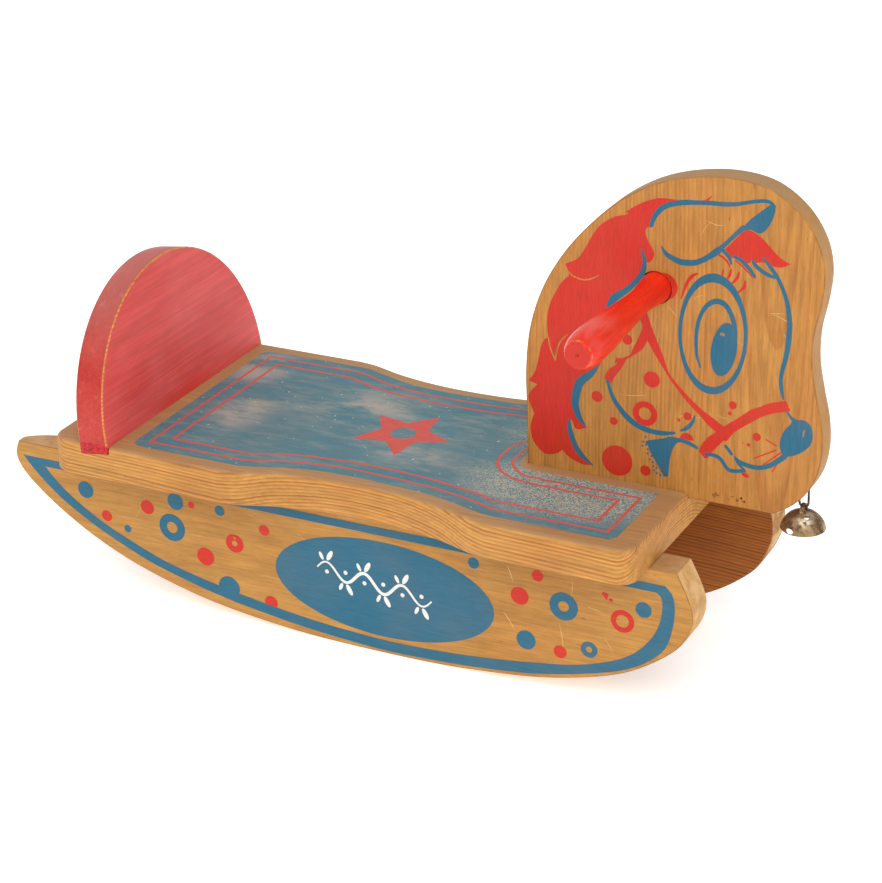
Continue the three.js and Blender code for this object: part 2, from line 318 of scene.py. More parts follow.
# ---- print: paint films that lie on a board's face ----
SUNK = 0.05  # how far a film goes into the board, so that no gap shows under it
STEP, STEPS = 0.004, 8  # neighbouring films of one colour differ in height, so that no two share a plane
RED_HEIGHT, BLUE_HEIGHT, WHITE_HEIGHT = 0.08, 0.14, 0.2


def add_film(made, loops, height, place):
    """One closed film: loops are its outline and its holes in (u, v); it stands height above the face."""
    flat = [[Vector((p[0], p[1], 0)) for p in loop] for loop in loops]
    layers = []
    for level in (-SUNK, height):
        layers.append([made.verts.new(place(p.x, p.y, level)) for loop in flat for p in loop])
    for triangle in tessellate_polygon(flat):
        if len(set(triangle)) == 3:
            made.faces.new([layers[0][i] for i in triangle])
            made.faces.new([layers[1][i] for i in reversed(triangle)])
    first = 0
    for loop in flat:
        count = len(loop)
        for i in range(count):
            a, b = first + i, first + (i + 1) % count
            made.faces.new((layers[0][a], layers[0][b], layers[1][b], layers[1][a]))
        first += count


def print_film(name, shapes, height, place, material):
    """All the areas of one colour on one face; each shape is an outline, or a list of outline and holes."""
    made = bmesh.new()
    for index, shape in enumerate(shapes):
        loops = shape if isinstance(shape[0], list) else [shape]
        add_film(made, loops, height + index % STEPS * STEP, place)
    return finish_piece(place_mesh(made, name), "horse", material)


# ---- material nodes ----
def srgb(red, green, blue):
    """A colour given in 0 to 255 sRGB, as the linear colour that a shader takes."""
    shares = [c / 255 for c in (red, green, blue)]
    return (*[c / 12.92 if c <= 0.04045 else ((c + 0.055) / 1.055) ** 2.4 for c in shares], 1)


class Shader:
    """A material's node tree, with one short call for each kind of node used here."""

    def __init__(self, name):
        self.material = bpy.data.materials.new(name)
        self.material.use_nodes = True
        self.tree = self.material.node_tree
        self.surface = self.tree.nodes["Principled BSDF"]
        self.place = self.node("ShaderNodeTexCoord").outputs["Object"]

    def node(self, kind, inputs=(), **settings):
        made = self.tree.nodes.new(kind)
        for key, value in settings.items():
            setattr(made, key, value)
        for key, value in dict(inputs).items():
            self.set(made.inputs[key], value)
        return made

    def set(self, socket, value):
        if isinstance(value, bpy.types.NodeSocket):
            self.tree.links.new(value, socket)
        else:
            socket.default_value = value

    def maths(self, operation, *values, clamp=False):
        return self.node("ShaderNodeMath", enumerate(values), operation=operation, use_clamp=clamp).outputs[0]

    def times(self, *values):
        made = values[0]
        for value in values[1:]:
            made = self.maths("MULTIPLY", made, value)
        return made

    def part(self, vector, axis):
        return self.node("ShaderNodeSeparateXYZ", {"Vector": vector}).outputs[axis]

    def vector(self, operation, *values):
        made = self.node("ShaderNodeVectorMath", enumerate(values), operation=operation)
        return made.outputs["Value" if operation == "LENGTH" else "Vector"]

    def scaled(self, colour, amount):
        """The colour made lighter or darker by the amount."""
        made = self.node("ShaderNodeVectorMath", {"Scale": amount}, operation="SCALE")
        self.set(made.inputs[0], colour if isinstance(colour, bpy.types.NodeSocket) else colour[:3])
        return made.outputs["Vector"]

    def noise(self, scale, stretch=(1, 1, 1), detail=3, roughness=0.5, colour=False):
        """Noise with about scale lumps a metre, longer along an axis whose stretch is under 1."""
        at = self.vector("MULTIPLY", self.place, stretch)
        inputs = {"Vector": at, "Scale": scale, "Detail": detail, "Roughness": roughness}
        return self.node("ShaderNodeTexNoise", inputs).outputs["Color" if colour else "Fac"]

    def between(self, value, low, high, to_low=0, to_high=1):
        """value taken smoothly from the range low to high into the range to_low to to_high."""
        inputs = {"Value": value, "From Min": low, "From Max": high, "To Min": to_low, "To Max": to_high}
        return self.node("ShaderNodeMapRange", inputs, interpolation_type="SMOOTHSTEP").outputs["Result"]

    def mix(self, factor, first, second, blend="MIX"):
        made = self.node("ShaderNodeMix", data_type="RGBA", blend_type=blend)
        for index, value in ((0, factor), (6, first), (7, second)):
            self.set(made.inputs[index], value)
        return made.outputs[2]

    def tint(self, colour, added, mask, strength=1.0):
        """The colour turned into the added one where the mask is 1, by as much as the strength."""
        share = mask if strength == 1.0 else self.times(mask, strength)
        return self.mix(share, colour, added)

    def patch(self, centre, reach, soft=0.6):
        """1 near a point in the frame, fading to 0 at reach (metres along each axis)."""
        inputs = {"Vector": self.place, "Location": centre, "Scale": reach}
        local = self.node("ShaderNodeMapping", inputs, vector_type="TEXTURE").outputs[0]
        return self.between(self.vector("LENGTH", local), 1 - soft, 1, 1, 0)

    def normal(self):
        """The direction a face looks in."""
        return self.node("ShaderNodeNewGeometry").outputs["Normal"]

    def bump(self, height, distance, strength=1):
        inputs = {"Height": height, "Distance": distance, "Strength": strength}
        self.set(self.surface.inputs["Normal"], self.node("ShaderNodeBump", inputs).outputs[0])

    def finish(self, colour, roughness, metallic=0.0):
        self.set(self.surface.inputs["Base Color"], colour)
        self.set(self.surface.inputs["Roughness"], roughness)
        self.surface.inputs["Metallic"].default_value = metallic
        self.surface.inputs["Specular IOR Level"].default_value = 0.3
        return self.material


# ---- wood: growth rings round a pith line, which show as lines, arcs or end grain on any face ----
class Wood:
    """How one board was sawn: its grain axis, where its pith lay (frame metres), and its colours."""

    def __init__(self, along, pith, tilt=(0, 0, 0), spacing=0.0028, wander=0.004, contrast=0.6,
                 early=srgb(214, 155, 76), late=srgb(166, 96, 36)):
        self.along = Vector(along)
        self.across = Vector((1, 1, 1)) - self.along
        self.stretch = self.across + self.along * 0.06
        self.pith, self.tilt = pith, tilt
        self.spacing, self.wander, self.contrast = spacing, wander, contrast
        self.early, self.late = early, late

    def grain(self, shader):
        """The colour of the bare wood and the height of its rings."""
        inputs = {"Vector": shader.place, "Location": self.pith, "Rotation": self.tilt}
        log = shader.node("ShaderNodeMapping", inputs, vector_type="TEXTURE").outputs[0]
        drift = shader.noise(14, self.across + self.along * 0.25, detail=2, colour=True)
        drift = shader.vector("SUBTRACT", drift, (0.5, 0.5, 0.5))
        drift = shader.vector("MULTIPLY", drift, [2 * self.wander] * 3)
        crosswise = shader.vector("MULTIPLY", shader.vector("ADD", log, drift), self.across)
        rings = shader.times(shader.vector("LENGTH", crosswise), 1 / self.spacing)
        share = shader.maths("FRACT", rings)
        whole = shader.maths("FLOOR", rings)
        each = shader.node("ShaderNodeTexWhiteNoise", {"W": whole}, noise_dimensions="1D").outputs["Value"]
        rise = shader.between(share, 0.25, 0.86)
        fall = shader.between(share, 0.92, 1.0, 1, 0)
        strength = shader.between(each, 0, 1, 0.45 * self.contrast, self.contrast)
        ring = shader.times(rise, fall, strength)
        fibres = shader.noise(620, self.stretch, detail=3, roughness=0.6)
        streaks = shader.noise(90, self.stretch, detail=2)
        colour = shader.mix(ring, self.early, self.late)
        fibre_shade = shader.between(fibres, 0.25, 0.75, 0.84, 1.1)
        streak_shade = shader.between(streaks, 0.3, 0.7, 0.93, 1.06)
        shaded = shader.scaled(colour, shader.times(fibre_shade, streak_shade))
        cloud = shader.between(shader.noise(11, detail=4), 0.35, 0.7)
        warmer = shader.mix(0.5, shaded, srgb(214, 140, 60), "MULTIPLY")
        clouded = shader.tint(shaded, warmer, cloud, 0.35)
        spots = shader.noise(85, self.stretch * 2 + self.along * 0.4, detail=5, roughness=0.7)
        mottled = shader.scaled(clouded, shader.between(spots, 0.3, 0.7, 0.9, 1.08))
        return mottled, shader.maths("MULTIPLY_ADD", fibres, 0.5, ring)


GRAIN_RELIEF = 0.00025  # the depth of the bump, in metres


def bare_wood(name, wood, roughness=0.48, edge=None, grime=0.25):
    """Thinly varnished wood. An edge colour makes a rubbed version, for edges and arrises."""
    shader = Shader(name)
    colour, height = wood.grain(shader)
    dirt = shader.between(shader.noise(38, wood.stretch * 3, detail=5, roughness=0.7), 0.56, 0.78)
    colour = shader.tint(colour, srgb(120, 74, 36), dirt, grime)
    pores = shader.between(shader.noise(330, wood.stretch * 2.2 + wood.along * 0.1, detail=2), 0.735, 0.765)
    colour = shader.tint(colour, srgb(72, 38, 18), pores, 0.6)
    if edge:
        rub = shader.between(shader.noise(60, detail=4, roughness=0.65), 0.38, 0.62, 0.25, 0.9)
        colour = shader.tint(colour, edge, rub)
    upward = shader.between(shader.part(shader.normal(), "Z"), 0.4, 0.95)
    colour = shader.tint(colour, SETTLED_DUST, shader.times(upward, shader.between(dirt, 0, 1, 0.5, 0.75)))
    shader.bump(height, GRAIN_RELIEF, 0.5)
    gloss = shader.between(shader.noise(25, detail=3), 0.3, 0.7, roughness - 0.07, roughness + 0.1)
    return shader.finish(colour, gloss)


def printed(name, wood, paint, wear=0.6, roughness=0.5, extra=None):
    """Screen-printed colour on wood: the grain shows through a little, and bare flecks where it is worn.

    A higher wear leaves fewer bare flecks. extra(shader, colour) may add more to the colour.
    """
    shader = Shader(name)
    bare, height = wood.grain(shader)
    spots = shader.noise(420, wood.stretch * 3, detail=4, roughness=0.75)
    mottle = shader.between(spots, 0.3, 0.7, 0.86, 1.12)
    thin = shader.between(shader.noise(16, detail=3), 0.4, 0.75, 0.01, 0.08)
    colour = shader.tint(shader.scaled(paint, mottle), bare, thin)
    worn = shader.between(shader.noise(240, wood.stretch * 5, detail=5, roughness=0.7), wear, wear + 0.07)
    colour = shader.tint(colour, bare, worn, 0.75)
    if extra:
        colour = extra(shader, colour)
    shader.bump(height, GRAIN_RELIEF, 0.4)
    gloss = shader.between(shader.noise(30, detail=3), 0.3, 0.7, roughness - 0.06, roughness + 0.1)
    return shader.finish(colour, gloss)


def in_frame(x, y, z):
    """A point in station millimetres as frame metres."""
    return STATION @ Vector((x, y, z))


SEAT_WOOD = Wood((1, 0, 0), in_frame(0, -38, -120), tilt=(0, 0.012, 0.02), spacing=0.0025, wander=0.006,
                 contrast=0.9, early=srgb(204, 149, 76))
ROCKER_WOOD = Wood((1, 0, 0), in_frame(0, -60, 160), tilt=(0, 0.02, 0.02), wander=0.009, contrast=0.08,
                   early=srgb(190, 138, 66))
# The far rocker's wood is darker than the near rocker's: partly bare unvarnished wood, partly painted shade
# for its inner face under the seat.
FAR_WOOD_WITH_PAINTED_SHADE = Wood((1, 0, 0), in_frame(0, 30, -190), tilt=(0, 0.06, 0.03), wander=0.007, contrast=0.9,
                early=srgb(170, 100, 28), late=srgb(108, 54, 12))
HEAD_WOOD = Wood((0, 0, 1), in_frame(506, 44, 0), tilt=(0.03, 0.02, 0), wander=0.007, contrast=0.42,
                 early=srgb(194, 136, 64), late=srgb(160, 88, 38))
BACK_WOOD = Wood((0, 1, 0), in_frame(20, 0, -60), tilt=(0.01, 0, 0.05), contrast=0.8)
GRIP_WOOD = Wood((0, 1, 0), in_frame(GRIP_STATION - 30, 0, GRIP_HEIGHT), contrast=0.6)

PALE, DULL = srgb(222, 180, 122), srgb(176, 134, 84)
ROCKER_DARK, HEAD_DARK = srgb(150, 94, 50), srgb(150, 98, 52)
SETTLED_DUST = srgb(162, 132, 98)
BLUE = srgb(30, 101, 128)
SEAT_BLUE = srgb(76, 122, 134)
RED = srgb(203, 40, 26)
PAINT_RED = srgb(222, 64, 58)
BRIGHT_RED = srgb(242, 46, 18)
WHITE = srgb(232, 232, 226)

wood = {
    "seat": bare_wood("seat_wood", SEAT_WOOD, edge=srgb(180, 128, 74), grime=0.75),
    "seat_edge": bare_wood("seat_edge_wood", SEAT_WOOD, roughness=0.55),
    "rocker": bare_wood("rocker_wood", ROCKER_WOOD),
    "rocker_edge": bare_wood("rocker_edge_wood", ROCKER_WOOD, edge=PALE, roughness=0.62),
    "rocker_arris": bare_wood("rocker_arris_wood", ROCKER_WOOD, edge=ROCKER_DARK, roughness=0.62, grime=0.6),
    # the far rocker's darker wood, partly painted shade
    "far": bare_wood("far_rocker_wood_with_painted_shade", FAR_WOOD_WITH_PAINTED_SHADE),
    "far_edge_with_painted_shade": bare_wood("far_rocker_edge_wood_with_painted_shade", FAR_WOOD_WITH_PAINTED_SHADE, edge=PALE, roughness=0.62),
    "head": bare_wood("head_wood", HEAD_WOOD),
    "head_edge": bare_wood("head_edge_wood", HEAD_WOOD, edge=DULL, roughness=0.6, grime=0.5),
    "head_arris": bare_wood("head_arris_wood", HEAD_WOOD, edge=HEAD_DARK, roughness=0.6, grime=0.6),
}


def face_materials(piece, axis, materials):
    """The materials of a board's faces, of its edges, and, where there is a third, of its arrises."""
    for material in materials:
        piece.data.materials.append(material)
    axis = Vector(axis)
    for polygon in piece.data.polygons:
        facing = abs(polygon.normal.dot(axis))
        if facing > 0.97:
            polygon.material_index = 0
        elif len(materials) > 2 and facing > 0.2:
            polygon.material_index = 2
        else:
            polygon.material_index = 0 if facing > 0.7 else 1


# ---- seat ----
WAIST_SHAPE = [(-1, 0), (-0.87, 0.12), (-0.62, 0.58), (-0.32, 0.9), (0, 1),
               (0.32, 0.9), (0.62, 0.58), (0.87, 0.12), (1, 0)]


def seat_outline():
    rear, front = SEAT_REAR_CORNER, SEAT_FRONT_CORNER
    dip = SEAT_HALF - WAIST_HALF
    right = [(WAIST_MIDDLE + t * WAIST_REACH, dip * share - SEAT_HALF) for t, share in WAIST_SHAPE]
    left = [(x, -y) for x, y in reversed(right)]
    return [
        *spline(right, 4),
        *arc(SEAT_FRONT - front, front - SEAT_HALF, front, -90, 0),
        *arc(SEAT_FRONT - front, SEAT_HALF - front, front, 0, 90),
        *spline(left, 4),
        *arc(SEAT_REAR + rear, SEAT_HALF - rear, rear, 90, 180),
        *arc(SEAT_REAR + rear, rear - SEAT_HALF, rear, 180, 270),
    ]


def make_seat():
    piece = plank("seat", seat_outline(), SEAT_THICK, SEAT_TOP_EASING, lambda u, v, d: (u, v, d - SEAT_THICK),
                  first_easing=SEAT_UNDER_EASING)
    beyond = SEAT_HALF + 10
    lean = Matrix.Rotation(-BACK_LEAN, 4, "Y")
    slot = box_cutter((-BACK_THICK - FIT, -beyond, -BACK_SUNK - FIT), (FIT, beyond, beyond), lean)
    half = HEAD_THICK / 2 + FIT
    groove = box_cutter((HEAD_REAR - FIT, -half, -HEAD_SUNK - FIT), (SEAT_FRONT + 10, half, 10))
    cut(piece, slot, groove, *screw_cutters([*HEAD_SCREWS, *BACK_SCREWS, *CLEAT_SCREWS]))
    face_materials(piece, (0, 0, 1), (wood["seat"], wood["seat_edge"]))
    return finish_piece(piece, "horse", wood["seat"], ["seat_board"])


# ---- head ----
HEAD_PROFILE = [
    (313.5, 40), (313, 80), (317, 115), (328, 148), (345, 177), (365, 201), (390, 224), (417, 240),
    (446, 249), (478, 252), (505, 247), (528, 231), (542, 210), (547, 188), (545, 165), (540.5, 142),
    (540, 118), (544, 95), (549, 72), (550, 50), (546, 30), (537, 14), (526, 3),
    (HEAD_FOOT_FRONT, -HEAD_SUNK),
]


def make_head():
    points = [Vector((HEAD_REAR, -HEAD_SUNK)), *spline(HEAD_PROFILE, 5)]
    half = HEAD_THICK / 2
    piece = plank("head", points, HEAD_THICK, HEAD_EASING, lambda u, v, d: (u, d - half, v))
    grip_hole = rod_cutter(GRIP_RADIUS + 0.8, (GRIP_STATION, -HEAD_THICK, GRIP_HEIGHT),
                           (GRIP_STATION, HEAD_THICK, GRIP_HEIGHT), 64)
    foot = WIRE_LOW + WIRE_BEND
    legs = []
    for x in (WIRE_STATION - WIRE_BEND, WIRE_STATION + WIRE_BEND):
        legs.append(rod_cutter(WIRE_RADIUS + FIT, (x, 0, foot), (x, 0, foot + WIRE_LEG + FIT)))
    cut(piece, grip_hole, *legs, *screw_cutters(HEAD_SCREWS))
    face_materials(piece, (0, 1, 0), (wood["head"], wood["head_edge"], wood["head_arris"]))
    return finish_piece(piece, "horse", wood["head"], ["head_board"])


# ---- backrest ----
def on_backrest(u, v, depth):
    """u across, v up the leaning front face, and depth behind it."""
    sine, cosine = math.sin(BACK_LEAN), math.cos(BACK_LEAN)
    return (-depth * cosine - v * sine, u, v * cosine - depth * sine)


def back_paint(name, base, faded, rub, foot=0):
    """Old gloss paint: faded in clouds, brushed along the grain, rough and bright below the foot's height."""
    shader = Shader(name)
    bare, height = BACK_WOOD.grain(shader)
    cloud = shader.between(shader.noise(22, (1, 0.5, 1), detail=4), 0.35, 0.68)
    colour = shader.tint(base, faded, cloud)
    lines = shader.between(shader.noise(300, (1, 0.03, 1), detail=4, roughness=0.7), 0.35, 0.7, 0.88, 1.1)
    colour = shader.scaled(colour, lines)
    pale = shader.between(shader.noise(150, (1, 0.06, 1), detail=5, roughness=0.7), 0.55, 0.75)
    colour = shader.tint(colour, srgb(226, 130, 124), pale, 0.35)
    upward = shader.between(shader.part(shader.normal(), "Z"), 0.45, 1)
    colour = shader.tint(colour, srgb(190, 150, 138), upward, 0.3)
    chips = shader.between(shader.noise(130, detail=6, roughness=0.75), rub, rub + 0.05)
    colour = shader.tint(colour, bare, chips)
    ragged = shader.maths("MULTIPLY_ADD", shader.noise(160, detail=3), 0.002, shader.part(shader.place, "Z"))
    top = in_frame(0, 0, foot).z
    low = shader.between(ragged, top, top + 0.001, 1, 0)
    speckle = shader.between(shader.noise(700, detail=3), 0.42, 0.58)
    colour = shader.tint(colour, shader.mix(speckle, srgb(204, 34, 36), srgb(150, 16, 20)), low)
    shader.bump(shader.maths("MULTIPLY_ADD", height, 0.6, lines), GRAIN_RELIEF, 0.5)
    return shader.finish(colour, shader.between(cloud, 0, 1, 0.36, 0.5))


def make_backrest():
    points = [Vector((-BACK_RADIUS, -BACK_SUNK)), Vector((BACK_RADIUS, -BACK_SUNK)),
              *arc(0, 0, BACK_RADIUS, 0, 180, 72)]
    piece = plank("backrest_board", points, BACK_THICK, BACK_EASING, on_backrest)
    cut(piece, *screw_cutters(BACK_SCREWS))
    finishes = (
        back_paint("backrest_face_paint", PAINT_RED, srgb(230, 92, 88), 0.78),
        # the edge's red is darker than the face's: painted shade
        back_paint("backrest_edge_paint_with_painted_shade", srgb(182, 42, 34), srgb(196, 66, 56), 0.76, foot=2.5),
        back_paint("backrest_arris_paint", PAINT_RED, srgb(210, 110, 84), 0.39, foot=2),
    )
    face_materials(piece, (math.cos(BACK_LEAN), 0, math.sin(BACK_LEAN)), finishes)
    return finish_piece(piece, "horse", finishes[0], ["backrest"])


# ---- rockers ----
SOLE_LOW = -150.6
BEYOND = 10  # how far a cutter reaches past what it cuts
SOLE = [
    (-113.5, ROCKER_TOP), (ROCKER_TAIL, ROCKER_TOP - 10.5), (-115, -48), (-106.7, -59.4), (-73.4, -86.2),
    (-20.7, -114.5), (50, -136.3), (129, -147.6), (212, SOLE_LOW), (296, -148.2), (372, -138.3),
    (429.5, -120), (462, -98.3), (474, -85.5), (480, -73),
]
CUT_TOE = [(481.5, -61), (478, -48.5), (468.5, ROCKER_TOP)]  # the right rocker's, cut back at the top
FULL_TOE = [(484, -61), (ROCKER_TOE, -48.5), (481, ROCKER_TOP)]


def tail_taper(sign, lead):
    """A cutter for the tail: seen from above, a rocker's inner face curves outward to its outer face."""
    inner = ROCKER_FACE - ROCKER_THICK
    sweep = arc(ROCKER_TAIL + ROCKER_TAPER, -ROCKER_FACE, ROCKER_TAPER, 90, 180, 16, second=ROCKER_THICK)
    outside, inside = ROCKER_TAIL - BEYOND, BEYOND - inner
    around = [Vector((outside, -ROCKER_FACE)), Vector((outside, inside)),
              Vector((ROCKER_TAIL + ROCKER_TAPER, inside))]
    made = bmesh.new()
    heights = (SOLE_LOW - BEYOND, BEYOND)
    corners = [*sweep, *around]
    add_stack(made, [[made.verts.new((p.x + lead, -sign * p.y, z)) for p in corners] for z in heights])
    return place_mesh(made, "cutter")


def make_rocker(side, sign, lead, toe, finishes):
    """A rocker on one side of the horse: straight on top, curved below."""
    inner = ROCKER_FACE - ROCKER_THICK
    piece = plank(f"rocker_plank_{side}", spline([*SOLE, *toe], 5), ROCKER_THICK, ROCKER_EASING,
                  lambda u, v, d: (u + lead, sign * (inner + d), v))
    cut(piece, tail_taper(sign, lead), *screw_cutters([s for s in SIDE_SCREWS if s["side"] == side]))
    face_materials(piece, (0, 1, 0), finishes)
    return finish_piece(piece, "horse", finishes[0], [f"rocker_{side}"])


# ---- cleats and screws, under the seat ----
SIDES = {"right": -1, "left": 1}
SHANK, SCREW_HEAD = 2, 4


def screw(name, side, at, along, length):
    return {"name": name, "side": side, "at": Vector(at), "along": Vector(along), "length": length}


UP = (0, 0, 1)
HEAD_SCREWS = [screw(f"head_screw_{i + 1}", None, (x, 0, -SEAT_THICK), UP, 55)
               for i, x in enumerate((350, 415))]
BACK_SCREWS = [screw(f"backrest_screw_{i + 1}", None, (-12, y, -SEAT_THICK), UP, 45)
               for i, y in enumerate((-35, 0, 35))]
CLEAT_SCREWS, SIDE_SCREWS = [], []
for cleat_side, cleat_sign in SIDES.items():
    face = ROCKER_FACE - ROCKER_THICK
    for i, x in enumerate((90, 220, 350)):
        start = (x, cleat_sign * (face - CLEAT_SIZE / 2), ROCKER_TOP - CLEAT_SIZE)
        CLEAT_SCREWS.append(screw(f"cleat_{cleat_side}_up_screw_{i + 1}", cleat_side, start, UP, 36))
    for i, x in enumerate((125, 255, 315)):
        start = (x, cleat_sign * (face - GLUE_LINE - CLEAT_SIZE), -SEAT_THICK - CLEAT_SIZE / 2)
        outward = (0, cleat_sign, 0)
        SIDE_SCREWS.append(screw(f"cleat_{cleat_side}_side_screw_{i + 1}", cleat_side, start, outward, 40))


def screw_turn(one):
    turn = Vector(UP).rotation_difference(one["along"]).to_matrix().to_4x4()
    return Matrix.Translation(one["at"]) @ turn


def screw_profile(length, gap=0):
    shank, head = SHANK + gap, SCREW_HEAD + gap
    return [(0, -gap), (head, -gap), (shank, SCREW_HEAD - SHANK), (shank, length - 5), (0, length + gap)]


def screw_cutters(screws):
    return [turned("cutter", screw_profile(one["length"], FIT), 16, screw_turn(one)) for one in screws]


def steel(name, colour, dark, roughness=0.45):
    """Old plain metal: dulled in clouds, with darker tarnish in spots."""
    shader = Shader(name)
    cloud = shader.between(shader.noise(160, detail=5, roughness=0.7), 0.35, 0.65)
    mixed = shader.tint(colour, dark, cloud)
    shader.bump(shader.noise(900, detail=4), 0.0002, 0.3)
    return shader.finish(mixed, shader.between(cloud, 0, 1, roughness - 0.15, roughness + 0.15), 0.9)


def make_screws():
    """Slotted countersunk wood screws, each with a threaded shank."""
    finish = steel("screw_metal", srgb(168, 162, 150), srgb(98, 84, 70))
    for one in [*HEAD_SCREWS, *BACK_SCREWS, *CLEAT_SCREWS, *SIDE_SCREWS]:
        length = one["length"]
        threads = [(SHANK - 0.5 * (i % 2), 0.4 * length + i * 0.6)
                   for i in range(round((0.6 * length - 6) / 0.6))]
        profile = [(0, 0), (SCREW_HEAD - 0.2, 0), (SCREW_HEAD, 0.2), (SHANK, 2.4), *threads,
                   (1.2, length - 3), (0, length)]
        piece = turned(one["name"] + "_steel", profile, 20, screw_turn(one))
        slot = bmesh.new()
        corners = add_box(slot, (-5, -0.5, -1), (5, 0.5, 0.9))
        bmesh.ops.transform(slot, matrix=screw_turn(one), verts=corners)
        cut(piece, place_mesh(slot, "cutter"))
        finish_piece(piece, "horse", finish, [one["name"]])


def make_cleats():
    for side, sign in SIDES.items():
        face = ROCKER_FACE - ROCKER_THICK - GLUE_LINE
        low, high = sorted((sign * face, sign * (face - CLEAT_SIZE)))
        corners = [(CLEAT_REAR, low), (CLEAT_FRONT, low), (CLEAT_FRONT, high), (CLEAT_REAR, high)]
        piece = plank(f"cleat_batten_{side}", [Vector(c) for c in corners], CLEAT_SIZE, CLEAT_EASING,
                      lambda u, v, d: (u, v, ROCKER_TOP - CLEAT_SIZE + d))
        own = [s for s in [*CLEAT_SCREWS, *SIDE_SCREWS] if s["side"] == side]
        cut(piece, *screw_cutters(own))
        # the cleats take the far rocker's darker wood, which holds painted shade
        finish_piece(piece, "horse", wood["far"], [f"cleat_{side}"])


# ---- grips ----
GRIP_PROFILE = [
    (GRIP_RADIUS, 12), (11, 21), (9.7, 34), (9.6, 46), (10.6, 66), (12.4, 92), (13.9, 120), (13.7, 136),
    (12, 146), (10.3, 149.8), (9.4, GRIP_REACH),
]


def grip_paint():
    """Bright gloss red, pale dull pink on the upper side where a hand holds it, partly rubbed paint and
    partly a painted highlight, and rubbed down to the wood round its ends.
    """
    shader = Shader("grip_paint")
    bare, height = GRIP_WOOD.grain(shader)
    cloud = shader.between(shader.noise(45, (1, 0.4, 1), detail=4), 0.35, 0.7)
    colour = shader.tint(BRIGHT_RED, srgb(230, 42, 20), cloud)
    streak = shader.between(shader.noise(260, (1, 0.08, 1), detail=4, roughness=0.7), 0.35, 0.7, 0.86, 1.1)
    colour = shader.scaled(colour, streak)
    reach = shader.maths("ABSOLUTE", shader.part(shader.place, "Y"))
    worn_and_sheen_band = shader.times(shader.between(reach, 0.085, 0.12), shader.between(reach, 0.143, 0.152, 1, 0))
    middle, top = (in_frame(0, 0, GRIP_HEIGHT + rise).z for rise in (0, 12))
    above = shader.between(shader.part(shader.place, "Z"), middle, top)
    ragged = shader.between(shader.noise(130, (1, 0.3, 1), detail=5, roughness=0.7), 0.32, 0.6)
    # pale pink on the upper side of the held band: partly rubbed paint, partly a painted highlight from the
    # light above
    colour = shader.tint(colour, srgb(214, 128, 120), shader.times(worn_and_sheen_band, above, ragged), 0.28)
    chips = shader.between(shader.noise(210, detail=6, roughness=0.75), 0.72, 0.76)
    rim = shader.between(shader.maths("ABSOLUTE", shader.maths("SUBTRACT", reach, 0.1495)), 0, 0.0012, 1, 0)
    worn = shader.between(shader.noise(240, detail=4), 0.4, 0.6)
    colour = shader.tint(colour, bare, shader.maths("MAXIMUM", chips, shader.times(rim, worn, 0.75)))
    end = shader.between(reach, 0.1506, 0.1509)
    colour = shader.tint(colour, srgb(168, 44, 34), end, 0.6)
    shader.bump(height, 0.0002, 0.35)
    return shader.finish(colour, shader.between(cloud, 0, 1, 0.26, 0.4))


def make_grips():
    finish = grip_paint()
    flank = [(p.x, p.y) for p in spline(GRIP_PROFILE, 2.5)]
    dimple = [(1.4, GRIP_REACH), (1.1, GRIP_REACH - 2), (0, GRIP_REACH - 2.2)]
    inner = [(0, FIT / 2), (GRIP_RADIUS - 0.5, FIT / 2), (GRIP_RADIUS, FIT / 2 + 0.5)]
    at = Matrix.Translation((GRIP_STATION, 0, GRIP_HEIGHT))
    for side, sign in SIDES.items():
        turn = at @ Matrix.Rotation(-sign * math.pi / 2, 4, "X")
        piece = turned(f"grip_{side}", [*inner, *flank, *dimple], 64, turn)
        finish_piece(piece, "horse", finish, [f"handle_{side}"])


# ---- bell ----
STRAP_TOP = WIRE_LOW + WIRE_RADIUS + 0.7
CROWN = STRAP_TOP - STRAP_RADIUS


def make_staple():
    """A wire bent into a narrow U, its legs driven up into the chin."""
    foot = WIRE_LOW + WIRE_BEND
    path = [(-WIRE_BEND, foot + WIRE_LEG), (-WIRE_BEND, foot + WIRE_LEG / 2),
            *[tuple(p) for p in arc(0, foot, WIRE_BEND, 180, 360, 16)],
            (WIRE_BEND, foot + WIRE_LEG / 2), (WIRE_BEND, foot + WIRE_LEG)]
    piece = wire_piece("staple_wire_loop", [(WIRE_STATION + x, 0, z) for x, z in path], WIRE_RADIUS)
    finish = steel("staple_steel", srgb(120, 112, 104), srgb(70, 60, 54))
    finish_piece(piece, "horse", finish, ["bell_staple"])


def wire_piece(name, path, radius, sides=12):
    """A round wire along a path in the (x, z) plane."""
    points = [Vector(p) for p in path]
    made = bmesh.new()
    rings = []
    for i, point in enumerate(points):
        along = (points[min(i + 1, len(points) - 1)] - points[max(i - 1, 0)]).normalized()
        level = Vector((0, 1, 0))
        across = along.cross(level)
        angles = [2 * math.pi * j / sides for j in range(sides)]
        rings.append([made.verts.new(point + radius * (math.cos(a) * across + math.sin(a) * level))
                      for a in angles])
    add_stack(made, rings)
    return place_mesh(made, name)


def dome_profile():
    rim = math.acos((BELL_RADIUS - BELL_DEPTH) / BELL_RADIUS)
    steps = 26

    def shell(size, start, end):
        angles = [start + (end - start) * i / steps for i in range(steps + 1)]
        return [(size * math.sin(a), size * math.cos(a) - BELL_RADIUS) for a in angles]

    return [*shell(BELL_RADIUS - BELL_WALL, 0, rim), *shell(BELL_RADIUS, rim, 0)]


